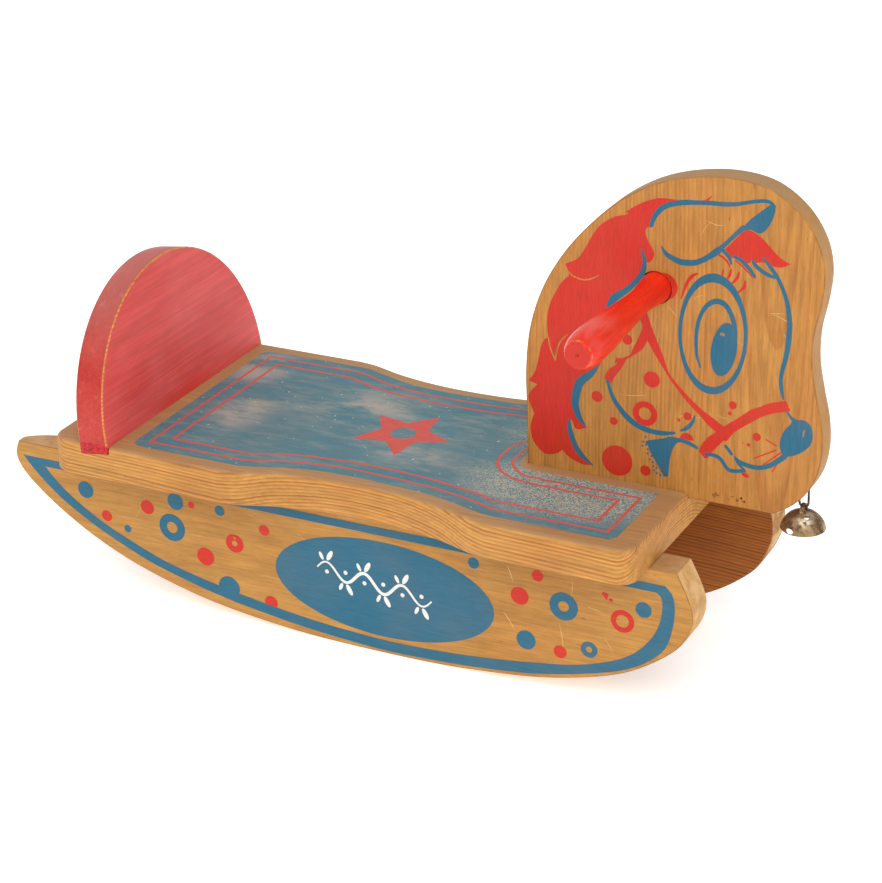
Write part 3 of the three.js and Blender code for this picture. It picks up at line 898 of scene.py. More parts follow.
def bell_metal():
    """Brown tarnished brass with a painted highlight on its shoulder toward the key light, and green-black
    spots round the holes.
    """
    shader = Shader("bell_brass")
    cloud = shader.between(shader.noise(130, detail=5, roughness=0.65), 0.35, 0.66)
    colour = shader.tint(srgb(176, 146, 108), srgb(98, 70, 48), cloud)
    # painted highlight: a pale, shinier patch on the dome's shoulder where the key light reflects
    bright = shader.patch(in_frame(WIRE_STATION + 4, -9, CROWN - 3), (0.011, 0.01, 0.009), 0.8)
    bright = shader.times(bright, shader.between(shader.noise(300, detail=4), 0.35, 0.6))
    colour = shader.tint(colour, srgb(222, 208, 180), bright)
    dark = shader.between(shader.noise(420, detail=5, roughness=0.7), 0.62, 0.72)
    colour = shader.tint(colour, srgb(40, 32, 26), dark)
    shader.bump(shader.noise(260, detail=5), 0.0006, 0.5)
    rough = shader.maths("MULTIPLY_ADD", bright, -0.2, shader.between(cloud, 0, 1, 0.38, 0.6))
    return shader.finish(colour, rough, 0.85)


def make_bell():
    at = Matrix.Translation((WIRE_STATION, 0, CROWN))
    piece = turned("bell_dome", dome_profile(), 72, at)
    dent(piece, 9, reach=0.007, depth=0.0004)
    join(piece, make_strap(at))
    centre = Matrix.Translation((WIRE_STATION, 0, CROWN - BELL_RADIUS))
    side_turn = centre @ Matrix.Rotation(0.6, 4, "Z") @ Matrix.Rotation(0.5, 4, "X")
    slot_turn = centre @ Matrix.Rotation(-0.35, 4, "Z") @ Matrix.Rotation(1.28, 4, "X")
    side_hole = turned("cutter", [(0, 8), (2.3, 8), (2.3, 28), (0, 28)], 24, side_turn)
    slot_turn = slot_turn @ Matrix.Diagonal((1.7, 1, 1, 1))
    rim_slot = turned("cutter", [(0, 8), (2, 8), (2, 22), (0, 22)], 24, slot_turn)
    crown_hole = turned("cutter", [(0, -4), (2, -4), (2, 2), (0, 2)], 24, at)
    cut(piece, side_hole, rim_slot, crown_hole)
    finish_piece(piece, "bell", bell_metal(), ["bell_shell"])


def dent(piece, count, reach, depth):
    """Shallow dents here and there in the dome; reach and depth in metres."""
    chance = random.Random(7)
    middle = in_frame(WIRE_STATION, 0, CROWN - BELL_RADIUS)
    for _ in range(count):
        angle, level = chance.uniform(0, 2 * math.pi), chance.uniform(0.35, 1.25)
        outward = Vector((math.cos(angle), math.sin(angle), 0)) * math.sin(level)
        outward.z = math.cos(level)
        centre = middle + outward * BELL_RADIUS * MM
        for vertex in piece.data.vertices:
            share = max(0, 1 - (vertex.co - centre).length / reach)
            vertex.co -= outward * depth * share * share * (3 - 2 * share)


def make_strap(at):
    """The strap over the crown, arched across the staple's wire."""
    foot = -BELL_WALL / 2 - 0.7
    outer = STRAP_RADIUS + STRAP_WALL
    made = bmesh.new()
    loop = [Vector((outer, foot)), *arc(0, 0, outer, 0, 180, 20), Vector((-outer, foot)),
            Vector((-STRAP_RADIUS, foot)), *arc(0, 0, STRAP_RADIUS, 180, 0, 20), Vector((STRAP_RADIUS, foot))]
    ends = (-STRAP_WIDTH / 2, STRAP_WIDTH / 2)
    add_stack(made, [[made.verts.new((x, p.x, p.y)) for p in loop] for x in ends])
    edges = [e for e in made.edges if abs(e.verts[0].co.x - e.verts[1].co.x) < TINY]
    bmesh.ops.bevel(made, geom=edges, offset=0.3, segments=2, profile=0.5, affect="EDGES")
    bmesh.ops.transform(made, matrix=at, verts=made.verts)
    return place_mesh(made, "strap")


def make_clapper():
    """A ball on a wire; the wire's cross bar lies on the dome under the strap."""
    wire, bar, ball = CLAPPER_WIRE, CLAPPER_BAR, CLAPPER_BALL
    hang = Matrix.Translation((WIRE_STATION, 0, CROWN + wire + 0.2))
    angles = [math.pi * i / 20 for i in range(21)]
    round_it = [(ball * math.sin(a), -CLAPPER_DROP - ball * math.cos(a)) for a in angles]
    below_neck = [p for p in round_it if p[1] < -CLAPPER_DROP + 3.2]
    profile = [*below_neck, (wire + 0.3, -CLAPPER_DROP + 3.9), (wire, -CLAPPER_DROP + 4.6), (wire, -0.5),
               (wire - 0.1, 0.2), (0, 0.2)]
    piece = turned("clapper_ball", profile, 28, hang)
    half = [(wire, bar - 0.1), (wire - 0.1, bar), (0, bar)]
    rod = [*[(r, -h) for r, h in reversed(half)], *half]
    join(piece, turned("rod", rod, 16, hang @ Matrix.Rotation(math.pi / 2, 4, "X")))
    finish_piece(piece, "clapper", steel("clapper_iron", srgb(96, 80, 66), srgb(52, 40, 32), 0.55),
                 ["bell_clapper"])


# ---- faces that carry print ----
def on_seat(side):
    return lambda u, v, h: (u, side * v, h)


def on_head(side):
    return lambda u, v, h: (u, side * (HEAD_THICK / 2 + h), v)


def on_rocker(side):
    lead = max(side, 0) * LEFT_LEAD
    return lambda u, v, h: (u + lead, side * (ROCKER_FACE + h), v)


def pinstripe(points, width=2.4):
    return [offset(points, width / 2), offset(points, -width / 2)]


def mirrored(half):
    """A closed outline from its half on one side of v = 0, which starts and ends on that line."""
    return [*half, *[Vector((p.x, -p.y)) for p in reversed(half[1:-1])]]


def ring(cx, cy, outer, inner):
    return [ellipse(cx, cy, outer), ellipse(cx, cy, inner)]


def blot(cx, cy, radius, seed, ragged=0.35):
    """A small splash of paint with an uneven edge."""
    chance = random.Random(seed)
    points = []
    for i in range(9):
        size = radius * (1 + chance.uniform(-ragged, ragged))
        angle = 2 * math.pi * i / 9
        points.append((cx + size * math.cos(angle), cy + size * math.sin(angle)))
    return closed_curve(points, 0.6)


def crescent(disc, hole):
    """What is left of a disc beside a hole that overlaps it; both are (u, v, radius)."""
    (dx, dy, big), (hx, hy, small) = disc, hole
    apart = Vector((dx - hx, dy - hy))
    gap = apart.length
    heading = math.degrees(math.atan2(apart.y, apart.x))
    from_hole = math.degrees(math.acos((gap ** 2 + small ** 2 - big ** 2) / (2 * gap * small)))
    from_disc = math.degrees(math.acos((small ** 2 - gap ** 2 - big ** 2) / (2 * gap * big)))
    outer = arc(dx, dy, big, heading - from_disc, heading + from_disc, 24)
    inner = arc(hx, hy, small, heading + from_hole, heading - from_hole, 16)
    return [*outer, *inner[1:-1]]


# ---- seat print ----
def seat_panel():
    edge = [(128, 100.7), (142, 96), (155, 91.7), (172, 89), (188, 87.7), (208, 87.3), (228, 88.3), (255, 90),
            (275, 92.7), (292, 96.7), (308, 101.7), (322, 105), (332, 106)]
    half = [Vector((12.3, 0)), *arc(21.3, 97, 9, 180, 90, 6), *spline([(112, 106), *edge]),
            *arc(419.5, 98, 8, 90, 0, 6), Vector((427.5, 21)),
            *spline([(322, 21), (315, 19.5), (309.5, 15), (307, 8), (306.5, 0)])]
    return mirrored(half)


def outer_stripe():
    edge = [(122, 91.7), (138, 85), (155, 80.7), (172, 78), (188, 76.3), (205, 76), (222, 76.7), (238, 77.3),
            (255, 79), (272, 81), (288, 84), (305, 88.3), (318, 92.7), (324, 94.8)]
    slot = [(335, 33), (322, 31.7), (315, 28.3), (308, 21.7), (303, 13.3), (301.5, 0)]
    half = [Vector((23.7, 0)), Vector((23.7, 95.5)), *spline([(110, 95.5), *edge]), Vector((417.7, 94.8)),
            Vector((417.7, 33)), *spline(slot)]
    return mirrored(half)


def inner_stripe():
    edge = [(122, 77.3), (138, 71.7), (155, 68.3), (172, 66), (188, 64.7), (205, 64), (238, 65), (255, 66.7),
            (272, 69), (288, 72.3), (305, 76), (318, 81.5)]
    slot = [(345, 43.5), (332, 43), (318, 41), (308, 36.7), (300, 30), (293, 20), (290, 8.3), (289.5, 0)]
    half = [Vector((37.7, 0)), Vector((37.7, 83)), *spline([(110, 83), *edge]), Vector((404, 81.5)),
            Vector((404, 43.5)), *spline(slot)]
    return mirrored(half)


def dusty(shader, colour):
    """The seat's print is rubbed pale in the middle and gritty with dry dust beside the head."""
    smear = shader.noise(26, (0.45, 1, 1), detail=6, roughness=0.7)
    rubbed = [
        (in_frame(58, -12, 0), (0.04, 0.06, 1)), (in_frame(228, -34, 0), (0.06, 0.035, 1)),
        (in_frame(30, 70, 0), (0.04, 0.06, 1)), (in_frame(150, 30, 0), (0.09, 0.06, 1)),
    ]
    for centre, reach in rubbed:
        local = shader.times(shader.patch(centre, reach, 0.9), shader.between(smear, 0.4, 0.62))
        colour = shader.tint(colour, srgb(178, 166, 152), local, 0.8)
    haze = shader.between(shader.noise(60, (0.3, 1, 1), detail=6, roughness=0.75), 0.45, 0.75)
    colour = shader.tint(colour, srgb(174, 162, 142), haze, 0.45)
    beside_head = [shader.patch(in_frame(362, y, 0), (0.105, 0.06, 1), 0.55) for y in (-44, 44)]
    grit = shader.between(shader.noise(900, detail=2, roughness=0.8), 0.47, 0.56)
    grit = shader.times(grit, shader.maths("MAXIMUM", *beside_head))
    colour = shader.tint(colour, srgb(208, 194, 166), grit, 0.8)
    specks = shader.between(shader.noise(260, detail=1), 0.74, 0.77)
    return shader.tint(colour, srgb(206, 200, 180), specks, 0.8)


def make_seat_print():
    blue = printed("seat_print_blue", SEAT_WOOD, SEAT_BLUE, wear=0.66, roughness=0.58, extra=dusty)
    red = printed("seat_print_red", SEAT_WOOD, srgb(206, 84, 76), wear=0.6, roughness=0.55)
    print_film("seat_panel_print", [seat_panel()], RED_HEIGHT, on_seat(1), blue)
    emblem = [star(200.5, 0, 41.7, 20), ellipse(200.5, 0, 10.3)]
    shapes = [pinstripe(outer_stripe()), pinstripe(inner_stripe()), emblem]
    print_film("seat_line_print", shapes, BLUE_HEIGHT, on_seat(1), red)


# ---- rocker print ----
BAND_OUTER = [
    (-109.2, -40.4), (-100.3, -50.9), (-78.4, -70.5), (-49.7, -88.7), (-20.7, -102.9), (8.2, -114.7),
    (36.9, -123.1), (66, -130.2), (98.6, -136.2), (159.3, -143.9), (225.1, -147.7), (280.7, -146),
    (321.2, -142.6), (356.6, -137.8), (392, -129.6), (425.4, -118.8), (444.6, -107.9), (459.8, -92.8),
    (465.9, -73.5), (467.2, -56.6), (464.9, -46.2), (459.2, -40.4),
]
BAND_INNER = [
    (-88.4, -47.2), (-78.4, -58.1), (-64.2, -69.9), (-35.2, -87.7), (-6.3, -100.5), (22.8, -111.3),
    (51.5, -118.5), (98.6, -127.2), (159.3, -135.1), (225.1, -138.8), (280.7, -136.9), (321.2, -133.2),
    (356.6, -128.4), (392, -121.7), (425.4, -108.7), (440.6, -96.8), (452.7, -79.6), (457.4, -61),
    (456.3, -50.3), (452.7, -47.2),
]
BLUE_DISCS = [(-50, -61, 7.4), (-11.5, -88.7, 3.3), (36.6, -54.7, 7.4), (78.1, -54.7, 4.5),
              (82.8, -122.4, 9.8), (303.1, -54.2, 4.7), (442.6, -63.8, 6.4), (346.5, -110.7, 8)]
BLUE_RINGS = [(31.9, -78.9, 12.1, 5), (377.9, -75, 11.7, 4.4), (398.8, -107.2, 6.8, 2.6)]
RED_DISCS = [(-31, -80.9, 5), (9.3, -65.1, 6.3), (51.5, -54.9, 3.1), (62.1, -98.9, 8), (118.5, -63.9, 4.8),
             (121.6, -127.7, 5.9), (356.5, -53.7, 4.8), (341.5, -73.9, 7.5), (374.9, -114.6, 5.5)]
RED_RINGS = [(90.4, -81.2, 8.2, 2.5), (425.8, -77, 9.5, 5.2)]
SCRATCHES = [(331, -50, 336, -63), (385, -50, 384, -66), (374, -89, 378, -115), (328, -91, 337, -104),
             (8, -56, -3, -77), (149, -60, 165, -74), (412, -95, 420, -110), (397, -71, 409, -73),
             (291, -71, 297, -81)]


def scratch(start, middle, end, width):
    return stroke([(*start, 0.2), (*middle, width), (*end, 0.2)])


def garland(cx, cy):
    """A waving stem with a leaf at each crest and a berry in each hollow, brushed in white on the oval."""
    reach, rise, waves = 50, 6.5, 3
    turn = 2 * math.pi * waves

    def wave(t):
        return cx + (2 * t - 1) * reach, cy + rise * math.sin(turn * t) - 5 * (2 * t - 1)

    steps = [i / (12 * waves) for i in range(12 * waves + 1)]
    shapes = [stroke([(*wave(t), 1.2 + 1.6 * math.sin(math.pi * t)) for t in steps])]
    for half_wave in range(2 * waves):
        side = -1 if half_wave % 2 else 1
        x, z = wave((half_wave + 0.5) / (2 * waves))
        shapes.append(ellipse(x + 3, z + side * 6, 5, 2, tilt=side * 62))
        shapes.append(ellipse(x - 4.5, z + side * 4.5, 3.6, 1.5, tilt=side * 115))
        shapes.append(ellipse(x, z - side * 8.5, 1.8))
    return shapes


def make_rocker_print(side, sign, paints):
    blue, red, white, bare = paints
    band = [outline(BAND_OUTER, [BAND_OUTER[0]]), outline(BAND_INNER, [BAND_INNER[0]])]
    oval = ellipse(223.6, -94.1, 96.1, 41.5, count=110)
    discs = [ellipse(*disc) for disc in BLUE_DISCS]
    rings = [ring(*one) for one in BLUE_RINGS]
    print_film(f"rocker_print_blue_{side}", [band, oval, *discs, *rings], BLUE_HEIGHT, on_rocker(sign), blue)
    spots = [ellipse(*disc) for disc in RED_DISCS]
    nicked, whole = RED_RINGS
    radius, width = (nicked[2] + nicked[3]) / 2, nicked[2] - nicked[3]
    nicked_ring = stroke([(*p, width) for p in arc(nicked[0], nicked[1], radius, 104, 430, 24)])
    shapes = [*spots, nicked_ring, ring(*whole), blot(412, -58.5, 3, 3, 0.5), blot(416.3, -61.4, 1.4, 5)]
    print_film(f"rocker_print_red_{side}", shapes, RED_HEIGHT, on_rocker(sign), red)
    print_film(f"rocker_garland_{side}", garland(216, -90.7), WHITE_HEIGHT, on_rocker(sign), white)
    marks = [scratch((x0, y0), ((x0 + x1) / 2 + 0.6, (y0 + y1) / 2), (x1, y1), 0.55)
             for x0, y0, x1, y1 in SCRATCHES]
    print_film(f"rocker_scratches_{side}", marks, RED_HEIGHT / 2, on_rocker(sign), bare)


# ---- head print: (station, height) points, and (station, height, width) points for brush strokes ----
MANE = outline(
    [(455, 230), (432, 230.2), (420, 229.5), (409, 225.3), (400, 219.8), (394.7, 216)],
    [(396.5, 214.6), (385.5, 210.6), (374.7, 203), (368.4, 194.3), (362.6, 183.5), (356.3, 174.3),
     (346.3, 168.5)],
    [(348.8, 163), (349.3, 159.8)],
    [(343.4, 153.5), (338.4, 145), (334.5, 137), (332, 128), (331.2, 118), (332.3, 107)],
    [(330.5, 106.8), (327, 102), (324.5, 92), (321, 78), (315.5, 69.5)],
    [(322.8, 67.5)],
    [(316, 59), (315.6, 54), (320, 43)],
    [(316.8, 32), (319, 20), (327, 11.5), (332, 10.5), (341, 14), (343.2, 16.5)],
    [(350, 11), (361, 7.5), (369, 8.5)],
    [(360, 15), (354, 24), (350, 34), (349.5, 43)],
    [(351, 43), (354, 37), (357, 36), (364, 39)],
    [(357, 47), (355, 58), (357, 72), (365, 83), (374, 91)],
    [(379, 104), (381.5, 121), (381.5, 138)],
    [(383, 146), (396, 154), (404, 162), (408.5, 173), (407.5, 182), (406.8, 189)],
    [(412, 179), (415, 181), (417.2, 186), (416.3, 189.3), (412.2, 196), (410.1, 202), (410.9, 205.6),
     (413.8, 207)],
    [(424, 221), (440, 228), (455, 230)],
)
FORELOCK = outline(
    [(471, 197.5), (476, 203), (481, 209), (485, 213), (489, 214.8), (493, 214), (498, 211), (504, 206),
     (509, 201), (514, 197), (521, 193.8)],
    [(515, 190.5), (507, 190.5), (504, 192)],
    [(498.5, 192), (495, 191), (492, 193.5)],
    [(490, 190), (486, 190.5), (483, 192), (479, 193.5)],
    [(477, 192), (475, 194), (472, 196), (471, 197.5)],
)
BRIDLE_CHEEK = outline(
    [(412, 140), (414, 134), (417, 126), (421, 117), (425, 108), (430, 95), (435, 89), (442, 82),
     (450, 75), (458, 69), (465, 65), (474, 59.5)],
    [(468, 54)],
    [(462, 58), (455, 65), (448, 71), (441, 78), (435, 85), (430, 91), (426, 97), (421, 104), (416, 112),
     (412.5, 118)],
    [(409, 111), (405, 107), (400, 103), (396, 100), (393, 94), (389, 88), (385, 82)],
    [(382.5, 78), (378.2, 82)],
    [(379.5, 86), (382, 90), (387, 94), (390, 99), (395, 102), (399, 104.5), (400.5, 108.5), (403.5, 115),
     (406.5, 122), (408.5, 129), (407, 132.5)],
    [(406, 139), (412, 140)],
)
NOSEBAND = outline(
    [(521, 88.5), (515, 86.5), (508, 84), (501, 80), (495, 77), (489, 72), (482, 66), (475, 60.5),
     (468, 54), (463, 50), (459, 45), (456, 40), (454.8, 36)],
    [(457, 33.5), (460, 31), (462.2, 32)],
    [(465, 37), (469, 42), (474, 48)],
    [(476, 48), (479, 52), (482, 56), (489, 62), (495, 66.5), (501, 71), (508, 75), (515, 78),
     (521, 79.5), (525, 81)],
    [(521, 88.5)],
)
EAR_TIP = outline(
    [(504.5, 236), (508.3, 234), (508, 230), (506, 224), (503.5, 219), (500.5, 215.5), (497, 213.5),
     (490.5, 215.5)],
    [(482, 213), (486, 218), (490, 223), (495, 227.5), (500, 232), (504.5, 236)],
)
NOSE = closed_curve([
    (527, 76), (529.5, 74.8), (534, 75.5), (538, 74.5), (541, 71), (542.3, 66), (542.2, 61), (540.5, 56),
    (537, 52), (532, 48), (526, 45), (522, 44.5), (519, 47), (517.5, 52), (518, 57), (520, 63), (523, 68),
    (525.5, 71),
])
THROAT = outline(
    [(414, 37.5), (421, 39.5), (428, 42), (431, 43.5), (438, 43.8), (445, 43.2), (450, 41.5), (454, 39.5)],
    [(454, 37)],
    [(449, 38.5), (444, 40), (439, 40.5), (436, 38), (434, 34), (432.5, 29), (431.5, 23), (431, 16),
     (430.5, 10.5)],
    [(427, 10)],
    [(424, 15), (421, 20), (418.5, 24), (416, 28), (414, 33), (412, 36), (414, 37.5)],
)

BLUE_STROKES = [
    # the near edge of the mane: above the grip, below it, and at the neck
    [(406.8, 189.3, 0.8), (409.6, 180, 3), (408.2, 171, 4), (402, 161.8, 4), (394.5, 154.3, 4.6),
     (385.5, 147, 6), (381.5, 140, 4)],
    [(373.5, 91.2, 1), (367, 83.5, 5), (358.5, 75.5, 6.6), (355.2, 66, 6.6), (354.3, 56, 6),
     (357.5, 46.5, 4.4), (363, 39.5, 1)],
    [(349.5, 43, 1.4), (349.8, 35, 4), (354.6, 21.5, 4.6), (359.5, 15, 4.4), (368.6, 8.4, 1)],
    # the ear: its outline, then the line under it
    [(414.5, 208, 3), (416.5, 214, 3.5), (420, 219.5, 4), (425, 224, 4), (432, 227, 4), (440, 229, 4),
     (450, 230.2, 3.3), (460, 231.2, 3.3), (470, 231.7, 3.3), (480, 233.2, 3), (488, 235.5, 2.6),
     (496, 237.5, 2.6), (501, 238.2, 2.6), (504.5, 237.7, 2.6), (507.5, 235, 2.6)],
    [(485, 216, 4), (480, 211, 3.3), (475, 205.5, 3), (470, 200, 3.5), (465.5, 195.5, 5), (460, 191, 4.2),
     (455, 187.5, 4), (449, 184.5, 4.3), (443, 183.5, 4.5), (437, 183.5, 4.5), (431, 185.5, 4),
     (427, 187.5, 3.5), (424.5, 190, 2.5), (423, 193, 1.2)],
    # locks of the forelock
    [(470, 197, 3), (473.5, 194, 3), (475.5, 191, 2.5), (476.5, 187.5, 1.5)],
    [(478.5, 193.5, 2.2), (483, 192, 3), (487, 189, 3), (491, 185, 2.8), (494.5, 180.5, 2.2)],
    [(492.5, 193, 1.5), (494.5, 189.5, 3), (499, 186, 3), (504, 183.5, 3), (509.5, 182, 2.2)],
    # the face's front line
    [(500, 195.5, 1.5), (504, 192, 2.3), (508, 187, 3.2), (511.5, 182.5, 3), (515, 176, 3), (518, 169, 3),
     (520, 162, 3.3), (521.2, 155, 3.7), (522, 148, 4), (521.8, 140, 4.3), (521, 130, 4),
     (519.5, 120, 3.5), (517.5, 111, 3.3), (516.8, 105, 3), (517.2, 98, 3), (518.5, 92, 2),
     (519.2, 89.5, 1.5)],
    # the iris
    [(454.6, 103.5, 1.2), (452, 111, 2), (451, 120, 2.6), (451, 130, 2.8), (452.3, 139, 2.8),
     (455, 147, 3), (459.5, 153.5, 3.5), (466, 157.3, 4.2), (472, 156, 4), (476.5, 150.5, 3.8),
     (479.5, 143, 3.6), (481, 136, 3), (481.3, 128, 2.4)],
    # below the noseband, to the nose
    [(522.4, 80, 1.6), (524, 77.5, 1.8), (528, 73.5, 3)],
    # the mouth, the lip and the chin
    [(483, 36.5, 1.5), (487, 33.3, 3), (492, 31.8, 3.5), (498, 31, 3.5), (504, 31.8, 3.5),
     (510, 34.5, 3.8), (516, 39, 4), (521.5, 44, 4.5)],
    [(475.8, 44, 2.5), (480.5, 38.5, 2.5)],
    [(460.5, 34.5, 3), (466, 35, 3), (471, 33.5, 3), (474, 30.5, 3), (476, 27.5, 3), (479, 25, 3),
     (483, 25, 3), (488, 26, 3), (491, 26.5, 2.4)],
    [(491, 27, 1.6), (486, 32, 2.5), (484, 35, 2.5)],
    # the jaw, and the small arc beside it
    [(380.5, 80.5, 2.2), (383, 73, 2.8), (386, 66, 3.5), (390.5, 60, 4), (396, 54, 4.5),
     (402.5, 49.5, 4.5), (410, 46.5, 4.5), (418, 45.2, 4), (427, 45.5, 3.5), (435, 47.3, 2)],
    [(450.8, 63.8, 1.5), (449.5, 59, 2.5), (446.8, 55, 3.2), (443.5, 52, 2.8), (440.2, 50.2, 1.5)],
]
RED_STROKES = [
    # lashes and brow
    [(470.5, 182, 1.3), (469.8, 177, 1.3)],
    [(476.5, 183.5, 1.4), (475.5, 179, 2.2), (473.5, 175, 1)],
    [(482.5, 182, 1.4), (481.5, 178, 2.4), (476.5, 171.5, 1)],
    [(487.5, 176, 1.4), (487, 172, 2.4), (481.5, 165.5, 1)],
    [(451, 176.5, 1.2), (447, 174, 2.5), (443.5, 169, 2.5), (441, 163, 2), (438.5, 155, 0.8)],
    # under the forelock's locks
    [(467, 193, 1.4), (471, 191, 1.6), (474, 188, 1.4), (475.7, 185, 1)],
    [(480, 190.5, 1.2), (485, 187, 1.2), (493.5, 179.5, 1)],
    # whiskers
    [(507, 55, 0.9), (515, 51.5, 1.1)],
    [(515, 48, 1.2), (498, 38.2, 0.8)],
    [(518.5, 46.5, 1.2), (505.5, 34.5, 0.9)],
    [(520.5, 45.5, 1.1), (512.5, 30, 0.8)],
    # the flick above the ear
    [(452, 230.5, 2), (457, 232.8, 1.8), (460.4, 236.2, 0.6)],
]
MANE_LINES = [
    [(348.8, 162.7, 1), (352, 160.2, 1), (356.3, 158.7, 1), (361.3, 158.1, 1), (366.3, 159.3, 0.9),
     (373.4, 163.3, 0.5)],
    [(332.3, 107, 1), (334, 99, 1.2), (337.7, 90.2, 1.2)],
    [(337.7, 90.2, 1.4), (340.5, 102, 1), (343, 107, 1), (348.2, 112.5, 0.5)],
]
CHEEK_DOTS = [(416.4, 87.4, 6.5), (372.2, 66, 4.5), (385.9, 48.2, 3.3), (389, 16, 12.5), (412.1, 12, 4.3),
              (396.4, 116, 4), (445.2, 62.7, 3.3), (438.4, 58.5, 1.3), (480.5, 77.8, 3.2),
              (478.4, 70.9, 1.6), (499.7, 55.8, 3.3), (493.6, 48.3, 1.5), (489, 49, 0.6)]
THROAT_DOTS = [(411.8, 39.7), (410.2, 35.5), (409.5, 32.2), (412.5, 33.5), (413.8, 30), (413.7, 26.5),
               (417, 25), (415.5, 22), (418, 20.2), (418.5, 16.8), (421.3, 16), (419.1, 13.6),
               (421.3, 11.7), (424.3, 10.6)]


def inside_head(points):
    """Whether an outline lies within a circle that is clear of the head's edge."""
    middle, radius = Vector((432, 120)), 108
    return all((p - middle).length < radius for p in points)


def make_head_print(side, sign, paints):
    blue, red, bare, stain, pale = paints
    eye = [ellipse(463.6, 131, 26.8, 47.4, tilt=-2, count=90),
           ellipse(463.5, 130.5, 24, 41, tilt=-2, count=90)]
    pupil = [ellipse(472.5, 120.5, 9.8, 21.5, tilt=-9, count=60), ellipse(471.2, 132.2, 2, 1.4)]
    nose = [NOSE, ellipse(535.5, 65, 0.6, 3.4, tilt=-8, count=14)]
    dots = [ellipse(u, v, 0.85, count=10) for u, v in THROAT_DOTS]
    strokes = [stroke(points) for points in BLUE_STROKES]
    shapes = [eye, pupil, nose, EAR_TIP, THROAT, *dots, *strokes, blot(367.8, 127.2, 1, 4)]
    print_film(f"head_print_blue_{side}", shapes, BLUE_HEIGHT, on_head(sign), blue)

    hole = (GRIP_STATION, GRIP_HEIGHT, GRIP_RADIUS + 1.1)
    half_dot = [Vector((439.5, 43.5)), *arc(445, 43.5, 5.5, 180, 0, 10)[1:]]
    shapes = [MANE, FORELOCK, BRIDLE_CHEEK, NOSEBAND, crescent((425.2, 162.5, 10.5), hole), half_dot,
              ellipse(491.5, 23.5, 3.3, 1.7, tilt=-22), ring(411.2, 58.8, 10, 5),
              blot(388.5, 98.5, 2.4, 8, 0.6), *[ellipse(*dot) for dot in CHEEK_DOTS],
              *[stroke(points) for points in RED_STROKES]]
    print_film(f"head_print_red_{side}", shapes, RED_HEIGHT, on_head(sign), red)
    lines = [stroke(points) for points in MANE_LINES]
    print_film(f"mane_lines_{side}", lines, BLUE_HEIGHT, on_head(sign), bare)
    make_head_wear(side, sign, stain, pale)


def make_head_wear(side, sign, stain, pale):
    """Fine scratches all over the face, and stains along its lower edge."""
    chance = random.Random(21)
    scratches = []
    for _ in range(26):
        x, z = chance.uniform(345, 530), chance.uniform(20, 238)
        heading, length = chance.uniform(0, math.pi), chance.uniform(6, 24)
        bend = chance.uniform(-1.5, 1.5)
        dx, dz = length * math.cos(heading), length * math.sin(heading)
        scratches.append(scratch((x, z), (x + dx / 2 + bend, z + dz / 2 - bend), (x + dx, z + dz), 0.5))
    scratches = [one for one in scratches if inside_head(one)]
    print_film(f"head_scratches_{side}", scratches, RED_HEIGHT / 2, on_head(sign), pale)
    stains = []
    for seed in range(16):
        x, z = 466 + 27 * chance.random() ** 1.2, chance.uniform(1.2, 4.4)
        stains.append(blot(x, z, chance.uniform(0.4, 1.1), seed, 0.5))
    print_film(f"head_stains_{side}", stains, RED_HEIGHT, on_head(sign), stain)


# ---- build ----
def make_print():
    make_seat_print()
    head_paints = (
        printed("head_print_blue", HEAD_WOOD, BLUE, wear=0.7, roughness=0.45),
        printed("head_print_red", HEAD_WOOD, RED, wear=0.7, roughness=0.45),
        wood["head"],
        bare_wood("stained_wood", HEAD_WOOD, edge=srgb(44, 26, 14), roughness=0.6, grime=0.9),
        bare_wood("head_scratched_wood", HEAD_WOOD, edge=srgb(226, 182, 122), roughness=0.6),
    )
    rocker_paints = (
        printed("rocker_print_blue", ROCKER_WOOD, BLUE, wear=0.7, roughness=0.45),
        printed("rocker_print_red", ROCKER_WOOD, RED, wear=0.7, roughness=0.45),
        printed("rocker_garland_white", ROCKER_WOOD, WHITE, wear=0.68, roughness=0.5),
        bare_wood("scratched_wood", ROCKER_WOOD, edge=srgb(232, 196, 140), roughness=0.6),
    )
    for side, sign in SIDES.items():
        make_rocker_print(side, sign, rocker_paints)
        make_head_print(side, sign, head_paints)


make_seat()
make_head()
make_backrest()
make_rocker("right", -1, 0, CUT_TOE, (wood["rocker"], wood["rocker_edge"], wood["rocker_arris"]))
# the far rocker takes the darker wood, which holds painted shade
make_rocker("left", 1, LEFT_LEAD, FULL_TOE, (wood["far"], wood["far_edge_with_painted_shade"]))
make_cleats()
make_screws()
make_grips()
make_staple()
make_bell()
make_clapper()
make_print()


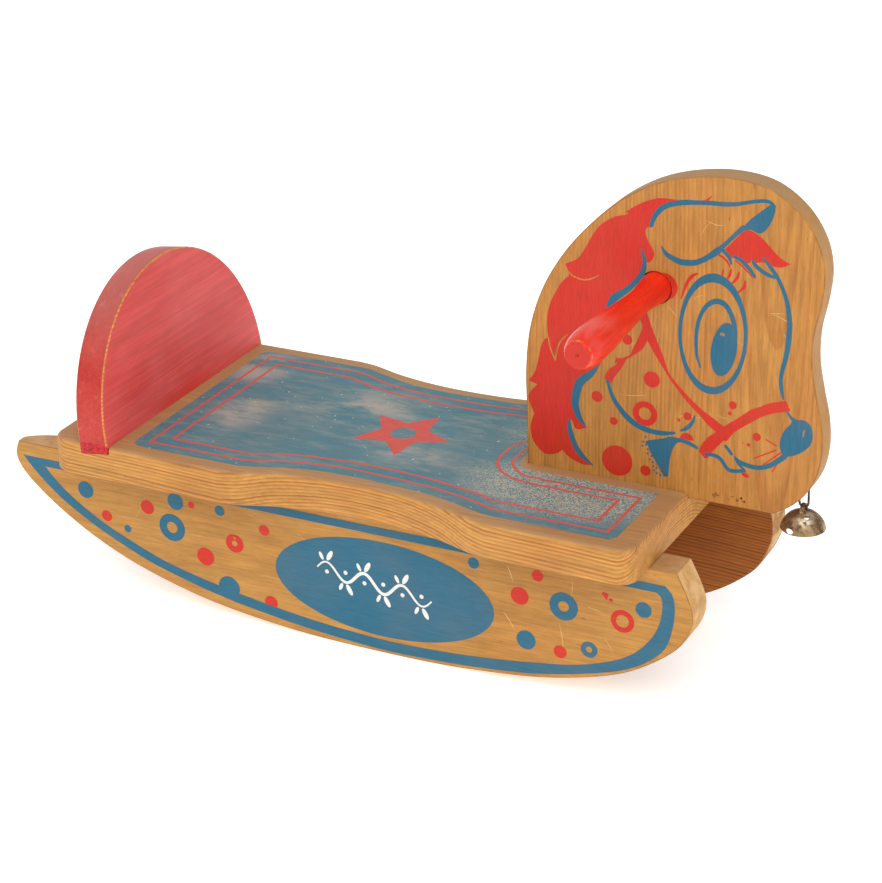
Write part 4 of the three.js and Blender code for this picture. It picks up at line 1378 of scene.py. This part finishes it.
# ---- floor, light and camera ----
def make_floor():
    made = bmesh.new()
    bmesh.ops.create_grid(made, x_segments=8, y_segments=8, size=9)
    floor = place_mesh(made, "floor", Matrix.Identity(4))
    shader = Shader("floor_white")
    shade = shader.between(shader.noise(3), 0.3, 0.7, 0.985, 1.0)
    shader.surface.inputs["Emission Color"].default_value = (1, 1, 1, 1)
    shader.surface.inputs["Emission Strength"].default_value = 0.45
    floor.data.materials.append(shader.finish(shader.scaled((0.97, 0.97, 0.97), shade), 0.9))


def soft_sun(name, direction, strength, spread):
    """Even light from one direction, softened like a large diffuser; spread is its width in degrees."""
    lamp = bpy.data.lights.new(name, "SUN")
    lamp.energy = strength
    lamp.angle = math.radians(spread)
    light = bpy.data.objects.new(name, lamp)
    light.rotation_euler = Vector(direction).to_track_quat("Z", "Y").to_euler()
    bpy.context.scene.collection.objects.link(light)


def make_light():
    world = bpy.data.worlds.new("studio")
    world.use_nodes = True
    background = world.node_tree.nodes["Background"]
    background.inputs["Color"].default_value = (1, 1, 1, 1)
    background.inputs["Strength"].default_value = 0.63
    bpy.context.scene.world = world
    soft_sun("key", (0.45, -0.75, 1), 1.22, 45)
    soft_sun("fill", (-0.7, -0.4, 0.9), 0.4, 60)


def make_camera():
    """A long lens in front of the horse's right shoulder, looking back and down at it."""
    azimuth, elevation, roll = (math.radians(angle) for angle in (27.30, 24.43, -1.436))
    back = Vector((math.sin(azimuth) * math.cos(elevation), -math.cos(azimuth) * math.cos(elevation),
                   math.sin(elevation)))
    level = Vector((math.cos(azimuth), math.sin(azimuth), 0))
    upright = back.cross(level)
    right = math.cos(roll) * level + math.sin(roll) * upright
    up = math.cos(roll) * upright - math.sin(roll) * level
    lens = bpy.data.cameras.new("camera")
    lens.sensor_fit = "HORIZONTAL"
    lens.sensor_width = 36
    lens.lens = 104.98
    camera = bpy.data.objects.new("camera", lens)
    turn = Matrix((right, up, back)).transposed().to_4x4()
    camera.matrix_world = Matrix.Translation(in_frame(1081, -1641, 838)) @ turn
    bpy.context.scene.collection.objects.link(camera)
    bpy.context.scene.camera = camera


make_floor()
make_light()
make_camera()
bpy.context.scene.view_settings.view_transform = "Standard"
